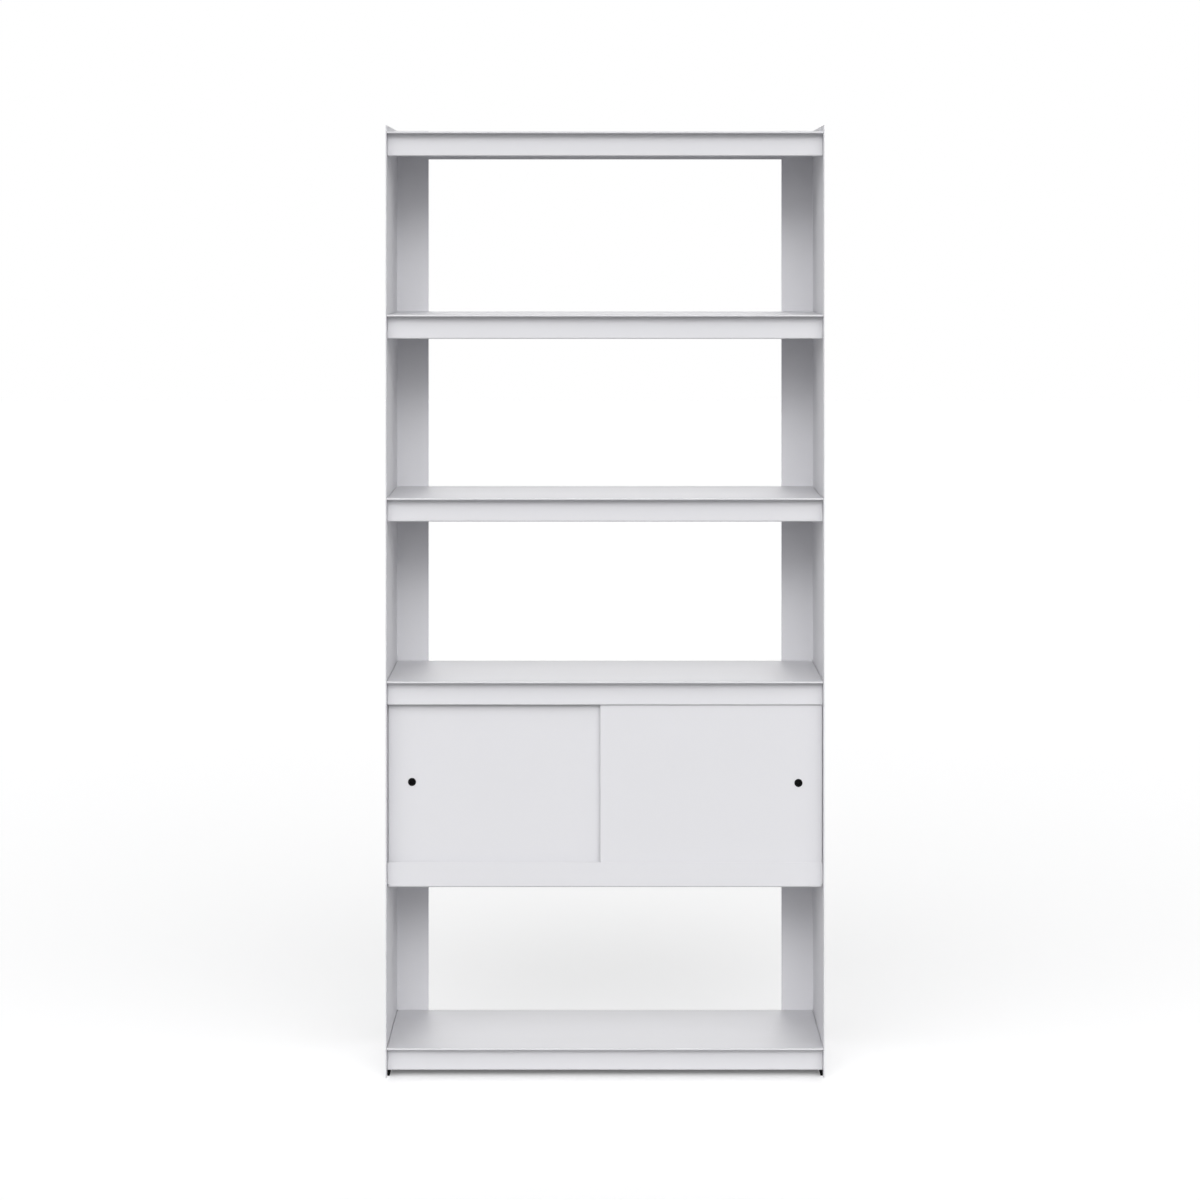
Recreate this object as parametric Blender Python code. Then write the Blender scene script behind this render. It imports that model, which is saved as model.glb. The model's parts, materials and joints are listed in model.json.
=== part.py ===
"""Sheet-steel bookcase with a sliding-door cabinet, in metres, +Z up, its front towards -Y.

The origin is on the floor, under the middle of the bookcase. Two side panels stand on four glides and
carry six folded shelves. Two pan-shaped doors slide in a pair of tracks between two of the shelves.
"""
from math import cos, pi, radians, sin

import bmesh
import bpy
from mathutils import Matrix, Vector

# Overall size
WIDTH = 0.900
DEPTH = 0.350
BASE_SHELF_TOP = 0.062
SHELF_PITCH = 0.376
PANEL_RISE = 0.013

# Sheets and folds
PANEL_SHEET = 0.0020
SHELF_SHEET = 0.0015
DOOR_SHEET = 0.0012
BACK_SHEET = 0.0010
FOLD_RADIUS = 0.0015
PANEL_FOLD_RADIUS = 0.0020
FLOOR_TRAY_FOLD_RADIUS = 0.0025

# Fits and clearances
SEAT_GAP = 0.0003
SHELF_END_GAP = 0.0005
HEM_GAP = 0.0003
FOLD_RELIEF = 0.0030
BORE_CLEARANCE = 0.0003
CUT_OVERRUN = 0.0020
WELD_DISTANCE = 0.000001

# Side panels
PANEL_FLOOR_GAP = 0.0010
REAR_FLANGE_WIDTH = 0.070

# Shelves
NOSE_DEPTH = 0.022
LIP_DROP = 0.050
LIP_RETURN = 0.012
REAR_LIP_DROP = 0.0485
END_FLANGE_DROP = 0.044
END_FLANGE_REAR_SETBACK = 0.012

# Cabinet floor tray, whose lips stand up
FLOOR_TRAY_LIP = 0.0515
FLOOR_TRAY_REAR_LIP = 0.046
FLOOR_TRAY_NOTCH = 0.006

# Door tracks
TRACK_SETBACK = 0.0020
TRACK_LEG = 0.0015
TRACK_SLOT = 0.0110
TRACK_WEB = 0.0020
UPPER_TRACK_LEG_DROP = 0.030
LOWER_TRACK_LEG_RISE = 0.008
TRACK_END_GAP = 0.0010
TRACK_FLANGE_GAP = 0.0030

# Doors
DOOR_THICKNESS = 0.0100
DOOR_SIDE_GAP = 0.0010
DOOR_OVERLAP = 0.020
DOOR_EDGE_RADIUS = 0.0012
DOOR_LIFT = 0.010

# Door shoes and guides
SHOE_LENGTH = 0.040
SHOE_HEIGHT = 0.0044
SHOE_SIDE_CLEARANCE = 0.0003
SHOE_END_INSET = 0.015
SHOE_CHAMFER = 0.0020
SHOE_PEG_RADIUS = 0.0025
SHOE_PEG_HEAD_RADIUS = 0.0035
SHOE_PEG_HEAD_HEIGHT = 0.0015

# Door pulls
PULL_RIM_RADIUS = 0.0080
PULL_RIM_HEIGHT = 0.0008
PULL_RIM_ROUND = 0.0004
PULL_CUP_RADIUS = 0.0065
PULL_CUP_DEPTH = 0.0070
PULL_WALL = 0.0012
PULL_BEAD = 0.0006
PULL_EDGE_DISTANCE = 0.049
PULL_HEIGHT = 0.602

# Cabinet back panel
BACK_RETURN = 0.012
BACK_END_GAP = 0.0020

# Screws
SCREW_RADIUS = 0.0030
SCREW_HEAD_RADIUS = 0.0060
SCREW_HEAD_HEIGHT = 0.0032
SCREW_HEAD_FLANGE = 0.0010
SCREW_DOME_RADIUS = 0.0042
SCREW_SOCKET_APOTHEM = 0.0020
SCREW_SOCKET_DEPTH = 0.0020
SCREW_TIP_CHAMFER = 0.0005
SCREW_TIP_INSET = 0.0001
SCREW_DROP = 0.025
END_SCREW_SETBACK = 0.018
REAR_SCREW_INSET = 0.035

# Floor glides
GLIDE_LENGTH = 0.030
GLIDE_WIDTH = 0.0044
GLIDE_WEB_GAP = 0.0004
GLIDE_EDGE_WIDTH = 0.0020
GLIDE_EDGE_HEIGHT = 0.0040
GLIDE_STEM_RADIUS = 0.0013
GLIDE_STEM_HEAD_RADIUS = 0.0024
GLIDE_STEM_HEAD_HEIGHT = 0.0015
GLIDE_STEM_WEB_DISTANCE = 0.0033

# Counts and shading
FOLD_STEPS = 5
HEM_STEPS = 7
ROUND_STEPS = 24
BORE_STEPS = 16
SCREW_STEPS = 12
EDGE_STEPS = 4
HEXAGON_SIDES = 6
SHARP_ANGLE = radians(35)

# Places that follow from the sizes
SHELF_NAMES = ("base_shelf", "cabinet_floor_tray", "cabinet_top_shelf", "middle_shelf", "upper_shelf",
               "top_shelf")
SHELF_TOPS = {name: BASE_SHELF_TOP + SHELF_PITCH * level for level, name in enumerate(SHELF_NAMES)}
HEIGHT = SHELF_TOPS["top_shelf"] + PANEL_RISE
FRONT = -DEPTH / 2
LIP_FACE = FRONT + NOSE_DEPTH
REAR_LIP_FACE = DEPTH / 2 - PANEL_SHEET - SEAT_GAP
WEB_INSIDE = WIDTH / 2 - PANEL_SHEET
SHELF_END = WEB_INSIDE - SHELF_END_GAP
REAR_TAB_END = SHELF_END - PANEL_FOLD_RADIUS
FLOOR_TRAY_BOTTOM = SHELF_TOPS["cabinet_floor_tray"] - LIP_DROP
CABINET_FLOOR = FLOOR_TRAY_BOTTOM + SHELF_SHEET
CABINET_CEILING = SHELF_TOPS["cabinet_top_shelf"] - SHELF_SHEET
TRACK_FRONT = LIP_FACE + SHELF_SHEET + TRACK_SETBACK
TRACK_PITCH = TRACK_SLOT + TRACK_LEG
TRACK_REAR = TRACK_FRONT + TRACK_LEG + 2 * TRACK_PITCH
END_FLANGE_FRONT = TRACK_REAR + TRACK_FLANGE_GAP
END_FLANGE_REAR = REAR_LIP_FACE - END_FLANGE_REAR_SETBACK
BACK_FACE = REAR_LIP_FACE - SHELF_SHEET - SEAT_GAP
DOOR_INSET = (TRACK_SLOT - DOOR_THICKNESS) / 2
FRONT_DOOR_FACE = TRACK_FRONT + TRACK_LEG + DOOR_INSET
REAR_DOOR_FACE = FRONT_DOOR_FACE + TRACK_PITCH
DOOR_WIDTH = WEB_INSIDE - DOOR_SIDE_GAP + DOOR_OVERLAP / 2
DOOR_CENTRE = (WEB_INSIDE - DOOR_SIDE_GAP - DOOR_OVERLAP / 2) / 2
SHOE_BOTTOM = CABINET_FLOOR + SEAT_GAP + TRACK_WEB + SEAT_GAP
GUIDE_TOP = CABINET_CEILING - SEAT_GAP - TRACK_WEB - DOOR_LIFT
DOOR_BOTTOM = SHOE_BOTTOM + SHOE_HEIGHT + SEAT_GAP
DOOR_TOP = GUIDE_TOP - SHOE_HEIGHT - SEAT_GAP
END_SCREW_Y = END_FLANGE_FRONT + END_SCREW_SETBACK
REAR_SCREW_X = WEB_INSIDE - REAR_SCREW_INSET
GLIDE_TOP = BASE_SHELF_TOP - LIP_DROP - SEAT_GAP
GLIDE_STEM_X = WEB_INSIDE - GLIDE_STEM_WEB_DISTANCE
GLIDE_STEM_END_DISTANCE = LIP_RETURN / 2 - PANEL_FOLD_RADIUS


def clear_scene():
    """Removes every object that the file opened with."""
    for item in list(bpy.data.objects):
        bpy.data.objects.remove(item, do_unlink=True)


def finish_material(name, colour, roughness, metallic):
    """Returns a Principled material with these values."""
    material = bpy.data.materials.new(name)
    material.use_nodes = True
    shader = material.node_tree.nodes["Principled BSDF"]
    shader.inputs["Base Color"].default_value = (*colour, 1)
    shader.inputs["Roughness"].default_value = roughness
    shader.inputs["Metallic"].default_value = metallic
    return material


def mesh_from(shape, name):
    """Turns a bmesh into a mesh that is smooth except at its sharp edges."""
    mesh = bpy.data.meshes.new(name)
    shape.to_mesh(mesh)
    shape.free()
    mesh.shade_smooth()
    mesh.set_sharp_from_angle(angle=SHARP_ANGLE)
    return mesh


def add_object(name, mesh, material, location=(0, 0, 0), parent=None):
    """Links an object with its own material; the location is under its parent, if it has one."""
    item = bpy.data.objects.new(name, mesh)
    bpy.context.collection.objects.link(item)
    item.location = location
    item.parent = parent
    if material:
        item.data.materials.clear()
        item.data.materials.append(material)
    return item


def arc_points(centre, radius, start, end, steps):
    """Points on a circle, with the angles in degrees from the first axis towards the second."""
    angles = [radians(start + (end - start) * step / steps) for step in range(steps + 1)]
    return [(centre[0] + radius * cos(angle), centre[1] + radius * sin(angle)) for angle in angles]


def grid_along_x(section, stations):
    """Sweeps a (y, z) section through places along X."""
    return [[(x, y, z) for x in stations] for y, z in section]


def sheet_mesh(name, grids):
    """Joins grids of points into one thin sheet, welded where the grids meet."""
    shape = bmesh.new()
    for grid in grids:
        rows = [[shape.verts.new(point) for point in row] for row in grid]
        for row, after in zip(rows, rows[1:]):
            for corners in zip(row, row[1:], after[1:], after):
                shape.faces.new(corners)
    bmesh.ops.remove_doubles(shape, verts=shape.verts, dist=WELD_DISTANCE)
    bmesh.ops.recalc_face_normals(shape, faces=shape.faces)
    return mesh_from(shape, name)


def thicken(item, sheet):
    """Gives a folded sheet its thickness, half to each side of its middle surface."""
    wall = item.modifiers.new("sheet", "SOLIDIFY")
    wall.thickness = sheet
    wall.offset = 0
    wall.use_even_offset = True
    wall.use_quality_normals = True


def extruded_mesh(name, outline, half_length, axis="X"):
    """Extrudes a closed outline both ways along X, or along Y for an outline in (x, z)."""
    shape = bmesh.new()

    def place(point, along):
        return (along, *point) if axis == "X" else (point[0], along, point[1])

    ends = [[shape.verts.new(place(point, along)) for point in outline]
            for along in (-half_length, half_length)]
    for end in ends:
        shape.faces.new(end)
    for index in range(len(outline)):
        other = (index + 1) % len(outline)
        shape.faces.new((ends[0][index], ends[0][other], ends[1][other], ends[1][index]))
    bmesh.ops.recalc_face_normals(shape, faces=shape.faces)
    return mesh_from(shape, name)


def hexagon_radius(apothem, angle):
    """Distance from a hexagon's centre to its side at an angle."""
    half_side = pi / HEXAGON_SIDES
    return apothem / cos((angle + half_side) % (2 * half_side) - half_side)


def turned_mesh(name, profile, steps, socket=()):
    """Turns a (radius, height) profile about Z. Profile points listed in socket are hexagonal."""
    shape = bmesh.new()
    rings = []
    for index, (radius, height) in enumerate(profile):
        ring = []
        for step in range(steps):
            angle = 2 * pi * step / steps
            reach = hexagon_radius(radius, angle) if index in socket else radius
            ring.append(shape.verts.new((reach * cos(angle), reach * sin(angle), height)))
        rings.append(ring)
    for ring, after in zip(rings, rings[1:]):
        for step in range(steps):
            other = (step + 1) % steps
            shape.faces.new((ring[step], ring[other], after[other], after[step]))
    shape.faces.new(rings[0])
    shape.faces.new(rings[-1])
    bmesh.ops.recalc_face_normals(shape, faces=shape.faces)
    return mesh_from(shape, name)


def helper_object(name, mesh, location=(0, 0, 0), parent=None):
    """Adds a shape that only cuts or joins another one."""
    item = add_object(name, mesh, None, location, parent)
    item.hide_render = True
    item.display_type = "WIRE"
    return item


def combine(item, helper, operation):
    """Cuts a helper from an object, or joins it to the object."""
    change = item.modifiers.new(helper.name, "BOOLEAN")
    change.operation = operation
    change.solver = "EXACT"
    change.object = helper


def drill(item, name, bores, parent=None):
    """Cuts round holes. Each bore is its centre, its direction, its radius and its length.

    The last modifier keeps the flat faces' shading flat around the holes.
    """
    shape = bmesh.new()
    for centre, direction, radius, length in bores:
        turn = Vector(direction).to_track_quat("Z", "Y").to_matrix().to_4x4()
        bmesh.ops.create_cone(shape, cap_ends=True, segments=BORE_STEPS, radius1=radius,
                              radius2=radius, depth=length, matrix=Matrix.Translation(centre) @ turn)
    combine(item, helper_object(name, mesh_from(shape, name), parent=parent), "DIFFERENCE")
    item.modifiers.new("shading", "WEIGHTED_NORMAL")


def fold_down(corner, radius, steps=FOLD_STEPS):
    """Fold from a level sheet that runs along +first to one that drops, around an outer corner."""
    return arc_points((corner[0] - radius, corner[1] - radius), radius, 90, 0, steps)


def side_panel(side, material):
    """Side panel: an upright web with a flange folded inwards along its rear edge."""
    name = "left_side_panel" if side < 0 else "right_side_panel"
    middle = WIDTH / 2 - PANEL_SHEET / 2
    back = DEPTH / 2 - PANEL_SHEET / 2
    radius = PANEL_FOLD_RADIUS + PANEL_SHEET / 2
    fold = arc_points((middle - radius, back - radius), radius, 0, 90, FOLD_STEPS)
    path = [(middle, FRONT), *fold, (WIDTH / 2 - REAR_FLANGE_WIDTH, back)]
    grid = [[(side * x, y, z) for x, y in path] for z in (PANEL_FLOOR_GAP, HEIGHT)]
    panel = add_object(name, sheet_mesh(name, [grid]), material)
    thicken(panel, PANEL_SHEET)
    reach = 2 * (PANEL_SHEET + CUT_OVERRUN)
    radius = SCREW_RADIUS + BORE_CLEARANCE
    bores = []
    for level in SHELF_NAMES:
        height = screw_height(level)
        bores.append(((side * middle, END_SCREW_Y, height), (1, 0, 0), radius, reach))
        bores.append(((side * REAR_SCREW_X, back, height), (0, 1, 0), radius, reach))
    drill(panel, name + "_bores", bores)


def screw_height(shelf):
    """Height of a shelf's screws."""
    if shelf == "cabinet_floor_tray":
        return FLOOR_TRAY_BOTTOM + SCREW_DROP
    return SHELF_TOPS[shelf] - SCREW_DROP


def plate_stations(first, last):
    """Places along Y where the plate's ends change between tab, relief and end flange."""
    flange = [END_FLANGE_FRONT - FOLD_RELIEF, END_FLANGE_FRONT, END_FLANGE_REAR,
              END_FLANGE_REAR + FOLD_RELIEF]
    return [first, *flange, last]


def shelf_grids(section, tabs, end_fold, fold_start):
    """Grids of a folded shelf: its section, its tabs at both ends and its two end flanges.

    A tab is a run of the section, by first and last point, that reaches out to its own end. The rear
    tab stops short of the side panel's fold.
    """
    grids = [grid_along_x(section, (-fold_start, fold_start))]
    for side in (-1, 1):
        for first, last, end in tabs:
            grids.append(grid_along_x(section[first:last + 1], (side * fold_start, side * end)))
        grids.append([[(side * x, y, z) for x, z in end_fold] for y in (END_FLANGE_FRONT, END_FLANGE_REAR)])
    return grids


def shelf_section(has_front_return, has_rear_return):
    """Middle line of a shelf from its front lip to its rear lip, with the plate's top at zero.

    Returns the points and the index of the plate's first point, above the hemmed nose.
    """
    half = SHELF_SHEET / 2
    radius = FOLD_RADIUS + half
    hem_radius = half + HEM_GAP / 2
    lip = LIP_FACE + half
    hem_layer = -half - 2 * hem_radius
    low = half - LIP_DROP
    hem_centre = FRONT + hem_radius + half
    if has_front_return:
        front = [(LIP_FACE + LIP_RETURN, low)]
        front += arc_points((lip + radius, low + radius), radius, 270, 180, FOLD_STEPS)
    else:
        front = [(lip, -LIP_DROP)]
    front += arc_points((lip - radius, hem_layer - radius), radius, 0, 90, FOLD_STEPS)
    front += arc_points((hem_centre, -half - hem_radius), hem_radius, 270, 90, HEM_STEPS)
    rear = REAR_LIP_FACE - half
    plate = [(y, -half) for y in plate_stations(hem_centre, rear - radius)]
    drop = arc_points((rear - radius, -half - radius), radius, 90, 0, FOLD_STEPS)
    if has_rear_return:
        drop += arc_points((rear - radius, low + radius), radius, 0, -90, FOLD_STEPS)
        drop.append((REAR_LIP_FACE - LIP_RETURN, low))
    else:
        drop.append((rear, -REAR_LIP_DROP))
    return front + plate[1:] + drop[1:], len(front) - 1


def add_shelf(name, material):
    """Shelf: a plate with a hemmed nose, a lip set back under it, a rear lip and two end flanges.

    The lip over the cabinet has no return, because the doors rise behind it. The base shelf's rear lip
    has one, for the glides.
    """
    section, plate_start = shelf_section(name != "cabinet_top_shelf", name == "base_shelf")
    half = SHELF_SHEET / 2
    radius = FOLD_RADIUS + half
    end_fold = fold_down((SHELF_END - half, -half), radius) + [(SHELF_END - half, -END_FLANGE_DROP)]
    tabs = [(0, plate_start + 1, SHELF_END), (plate_start + 4, len(section) - 1, REAR_TAB_END)]
    grids = shelf_grids(section, tabs, end_fold, SHELF_END - half - radius)
    shelf = add_object(name, sheet_mesh(name, grids), material, (0, 0, SHELF_TOPS[name]))
    thicken(shelf, SHELF_SHEET)
    bores = shelf_bores(-SCREW_DROP)
    if name == "base_shelf":
        bores += glide_bores()
    drill(shelf, name + "_bores", bores, parent=shelf)


def shelf_bores(height):
    """Clearance holes for a shelf's two end screws and two rear screws."""
    reach = 2 * (SHELF_SHEET + CUT_OVERRUN)
    radius = SCREW_RADIUS + BORE_CLEARANCE
    bores = []
    for side in (-1, 1):
        end = side * (SHELF_END - SHELF_SHEET / 2)
        bores.append(((end, END_SCREW_Y, height), (1, 0, 0), radius, reach))
        bores.append(((side * REAR_SCREW_X, REAR_LIP_FACE, height), (0, 1, 0), radius, reach))
    return bores


def add_floor_tray(material):
    """Cabinet floor: a tray whose lips stand up, so that its front lip hides the lower door track."""
    name = "cabinet_floor_tray"
    half = SHELF_SHEET / 2
    radius = FLOOR_TRAY_FOLD_RADIUS + half
    lip = LIP_FACE + half
    rear = REAR_LIP_FACE - half
    front = [(lip, FLOOR_TRAY_LIP), (lip, FLOOR_TRAY_NOTCH)]
    front += arc_points((lip + radius, half + radius), radius, 180, 270, FOLD_STEPS)
    plate = [(y, half) for y in plate_stations(lip + radius + FLOOR_TRAY_NOTCH, rear - radius)]
    back = arc_points((rear - radius, half + radius), radius, 270, 360, FOLD_STEPS)
    section = front + plate + back[1:] + [(rear, FLOOR_TRAY_REAR_LIP)]
    plate_start = len(front)
    turn = arc_points((SHELF_END - half - radius, half + radius), radius, 270, 360, FOLD_STEPS)
    end_fold = turn + [(SHELF_END - half, END_FLANGE_DROP)]
    tabs = [(0, 1, SHELF_END), (plate_start, plate_start + 1, SHELF_END),
            (plate_start + 4, len(section) - 1, REAR_TAB_END)]
    grids = shelf_grids(section, tabs, end_fold, SHELF_END - half - radius)
    tray = add_object(name, sheet_mesh(name, grids), material, (0, 0, FLOOR_TRAY_BOTTOM))
    thicken(tray, SHELF_SHEET)
    drill(tray, name + "_bores", shelf_bores(SCREW_DROP), parent=tray)


def add_back_panel(material):
    """Cabinet back: a sheet in front of the rear lips, folded forwards along its top and bottom."""
    name = "cabinet_back_panel"
    half = BACK_SHEET / 2
    radius = FOLD_RADIUS + half
    middle = BACK_FACE - half
    low = CABINET_FLOOR + SEAT_GAP + half
    high = CABINET_CEILING - SEAT_GAP - half
    section = [(BACK_FACE - BACK_RETURN, low)]
    section += arc_points((middle - radius, low + radius), radius, 270, 360, FOLD_STEPS)
    section += arc_points((middle - radius, high - radius), radius, 0, 90, FOLD_STEPS)
    section.append((BACK_FACE - BACK_RETURN, high))
    end = SHELF_END - SHELF_SHEET - BACK_END_GAP
    panel = add_object(name, sheet_mesh(name, [grid_along_x(section, (-end, end))]), material)
    thicken(panel, BACK_SHEET)
    reach = 2 * (BACK_SHEET + CUT_OVERRUN)
    radius = SCREW_RADIUS + BORE_CLEARANCE
    bores = [((side * REAR_SCREW_X, middle, screw_height(shelf)), (0, 1, 0), radius, reach)
             for side in (-1, 1) for shelf in ("cabinet_floor_tray", "cabinet_top_shelf")]
    drill(panel, name + "_bores", bores)


def track_outline(leg_length):
    """Outline of a double track, its web at height zero and its three legs rising."""
    outline = [(TRACK_FRONT, 0), (TRACK_FRONT, TRACK_WEB + leg_length)]
    for slot in range(2):
        near = TRACK_FRONT + TRACK_LEG + slot * TRACK_PITCH
        far = near + TRACK_SLOT
        outline += [(near, TRACK_WEB + leg_length), (near, TRACK_WEB), (far, TRACK_WEB)]
        outline.append((far, TRACK_WEB + leg_length))
    return outline + [(TRACK_REAR, TRACK_WEB + leg_length), (TRACK_REAR, 0)]


def add_tracks(material):
    """Lower track on the cabinet floor and upper track under the shelf above it."""
    half_length = WEB_INSIDE - TRACK_END_GAP
    lower = extruded_mesh("lower_door_track", track_outline(LOWER_TRACK_LEG_RISE), half_length)
    add_object("lower_door_track", lower, material, (0, 0, CABINET_FLOOR + SEAT_GAP))
    upper_outline = [(y, -z) for y, z in track_outline(UPPER_TRACK_LEG_DROP)]
    upper = extruded_mesh("upper_door_track", upper_outline, half_length)
    add_object("upper_door_track", upper, material, (0, 0, CABINET_CEILING - SEAT_GAP))


def door_mesh(name):
    """Open-backed pan with rounded front and side edges, its face at y = 0, bottom at z = 0."""
    height = DOOR_TOP - DOOR_BOTTOM
    shape = bmesh.new()
    bmesh.ops.create_cube(shape, size=1)
    size = Matrix.Diagonal((DOOR_WIDTH, DOOR_THICKNESS, height, 1))
    middle = Matrix.Translation((0, DOOR_THICKNESS / 2, height / 2))
    bmesh.ops.transform(shape, matrix=middle @ size, verts=shape.verts)
    outer = [edge for edge in shape.edges if min(corner.co.y for corner in edge.verts) < DOOR_SHEET]
    bmesh.ops.bevel(shape, geom=outer, offset=DOOR_EDGE_RADIUS, segments=EDGE_STEPS, profile=0.5,
                    affect="EDGES")
    open_side = max(shape.faces, key=lambda face: face.calc_center_median().y)
    bmesh.ops.inset_region(shape, faces=[open_side], thickness=DOOR_SHEET, use_even_offset=True)
    pushed = bmesh.ops.extrude_discrete_faces(shape, faces=[open_side])["faces"]
    inwards = Vector((0, DOOR_SHEET - DOOR_THICKNESS, 0))
    bmesh.ops.translate(shape, vec=inwards, verts=pushed[0].verts)
    bmesh.ops.recalc_face_normals(shape, faces=shape.faces)
    return mesh_from(shape, name)


def peg_profile(radius, head_radius, head_height, sheet, base):
    """Profile of a peg that starts inside its carrier and snaps through a sheet."""
    neck = SEAT_GAP + sheet + SEAT_GAP
    return [(radius, -base), (radius, neck), (head_radius, neck), (head_radius, neck + head_height / 2),
            (radius, neck + head_height)]


def shoe_mesh():
    """Block with tapered ends that slides in a track, its seat on the door at z = 0."""
    half_length = SHOE_LENGTH / 2
    half_width = TRACK_SLOT / 2 - SHOE_SIDE_CLEARANCE
    shape = bmesh.new()
    outline = [(-half_length, SHOE_CHAMFER - half_width), (SHOE_CHAMFER - half_length, -half_width),
               (half_length - SHOE_CHAMFER, -half_width), (half_length, SHOE_CHAMFER - half_width),
               (half_length, half_width - SHOE_CHAMFER), (half_length - SHOE_CHAMFER, half_width),
               (SHOE_CHAMFER - half_length, half_width), (-half_length, half_width - SHOE_CHAMFER)]
    corners = [shape.verts.new((x, y, 0)) for x, y in outline]
    top = shape.faces.new(corners)
    lower = bmesh.ops.extrude_face_region(shape, geom=[top])["geom"]
    moved = [part for part in lower if isinstance(part, bmesh.types.BMVert)]
    bmesh.ops.translate(shape, vec=(0, 0, -SHOE_HEIGHT), verts=moved)
    bmesh.ops.recalc_face_normals(shape, faces=shape.faces)
    return mesh_from(shape, "door_shoe")


def add_door(side, materials):
    """Sliding door with its pull, two shoes that carry it and two guides that steady its top."""
    name = "left_door" if side < 0 else "right_door"
    face = REAR_DOOR_FACE if side < 0 else FRONT_DOOR_FACE
    slide = bpy.data.objects.new(name + "_slide", None)
    slide.location = (side * DOOR_CENTRE, face, DOOR_BOTTOM)
    bpy.context.collection.objects.link(slide)
    door = add_object(name, door_mesh(name), materials["paint"], parent=slide)
    height = DOOR_TOP - DOOR_BOTTOM
    middle = DOOR_THICKNESS / 2
    shoe_x = DOOR_WIDTH / 2 - SHOE_END_INSET - SHOE_LENGTH / 2
    pull_x = side * (DOOR_WIDTH / 2 - PULL_EDGE_DISTANCE)
    pull_z = PULL_HEIGHT - DOOR_BOTTOM
    peg_radius = SHOE_PEG_RADIUS + BORE_CLEARANCE
    reach = 2 * (DOOR_SHEET + CUT_OVERRUN)
    bores = [((pull_x, 0, pull_z), (0, 1, 0), PULL_CUP_RADIUS + BORE_CLEARANCE, reach)]
    bores += [((x, middle, z), (0, 0, 1), peg_radius, reach) for x in (-shoe_x, shoe_x)
              for z in (0, height)]
    drill(door, name + "_bores", bores, parent=slide)
    add_object(name + "_pull", pull_mesh(name + "_pull"), materials["black"], (pull_x, 0, pull_z), slide)
    peg = turned_mesh("door_peg", peg_profile(SHOE_PEG_RADIUS, SHOE_PEG_HEAD_RADIUS,
                                              SHOE_PEG_HEAD_HEIGHT, DOOR_SHEET, SHOE_HEIGHT / 2),
                      BORE_STEPS)
    for end, x in (("outer", side * shoe_x), ("inner", -side * shoe_x)):
        for kind, seat, turn in (("bottom_shoe", -SEAT_GAP, 0), ("top_guide", height + SEAT_GAP, pi)):
            piece_name = f"{name}_{kind}_{end}"
            piece = add_object(piece_name, shoe_mesh(), materials["black"], (x, middle, seat), slide)
            piece.rotation_euler = (turn, 0, 0)
            combine(piece, helper_object(piece_name + "_peg", peg, parent=piece), "UNION")


def pull_mesh(name):
    """Round finger cup with a thin rim on the door's face and a bead that snaps in behind it."""
    cup = PULL_CUP_RADIUS
    rim = PULL_RIM_RADIUS
    seat = SEAT_GAP
    behind = -DOOR_SHEET - SEAT_GAP
    floor = -PULL_CUP_DEPTH
    inner = cup - PULL_WALL
    top = seat + PULL_RIM_HEIGHT
    profile = [(inner, floor + PULL_WALL), (inner, top - PULL_RIM_ROUND)]
    profile += [(inner + PULL_RIM_ROUND, top), (rim - PULL_RIM_ROUND, top)]
    profile += [(rim, top - PULL_RIM_ROUND), (rim, seat), (cup, seat), (cup, behind)]
    profile += [(cup + PULL_BEAD, behind), (cup + PULL_BEAD, behind - PULL_BEAD)]
    profile += [(cup, behind - 2 * PULL_BEAD), (cup, floor)]
    mesh = turned_mesh(name, profile, ROUND_STEPS)
    mesh.transform(Matrix.Rotation(pi / 2, 4, "X"))
    return mesh


def screw_mesh(name, grip):
    """Flanged socket screw: its head's seat is at z = 0, its shank drops through the grip length."""
    profile = [(SCREW_RADIUS - SCREW_TIP_CHAMFER, -grip), (SCREW_RADIUS, SCREW_TIP_CHAMFER - grip),
               (SCREW_RADIUS, 0), (SCREW_HEAD_RADIUS, 0), (SCREW_HEAD_RADIUS, SCREW_HEAD_FLANGE),
               (SCREW_DOME_RADIUS, SCREW_HEAD_HEIGHT), (SCREW_SOCKET_APOTHEM, SCREW_HEAD_HEIGHT),
               (SCREW_SOCKET_APOTHEM, SCREW_HEAD_HEIGHT - SCREW_SOCKET_DEPTH)]
    socket = (len(profile) - 2, len(profile) - 1)
    return turned_mesh(name, profile, SCREW_STEPS, socket)


def add_screws(material):
    """Four screws a shelf: one through each end flange, one through each end of the rear lip.

    The heads are inside and the tips end in the panels' outer faces, which stay flat.
    """
    grip = SEAT_GAP + SHELF_SHEET + PANEL_SHEET - SCREW_TIP_INSET
    end_mesh = screw_mesh("end_screw", grip + SHELF_END_GAP)
    rear_mesh = screw_mesh("rear_screw", grip + SEAT_GAP)
    back_mesh = screw_mesh("back_screw", grip + 2 * SEAT_GAP + BACK_SHEET)
    for shelf in SHELF_NAMES:
        height = screw_height(shelf)
        holds_back = shelf in ("cabinet_floor_tray", "cabinet_top_shelf")
        lip_side = REAR_LIP_FACE - SHELF_SHEET - SEAT_GAP
        seat = lip_side - BACK_SHEET - SEAT_GAP if holds_back else lip_side
        for side, word in ((-1, "left"), (1, "right")):
            end = side * (SHELF_END - SHELF_SHEET - SEAT_GAP)
            screw = add_object(f"{shelf}_{word}_end_screw", end_mesh, material, (end, END_SCREW_Y, height))
            screw.rotation_euler = (0, -side * pi / 2, 0)
            screw = add_object(f"{shelf}_{word}_rear_screw", back_mesh if holds_back else rear_mesh,
                               material, (side * REAR_SCREW_X, seat, height))
            screw.rotation_euler = (pi / 2, 0, 0)


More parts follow.
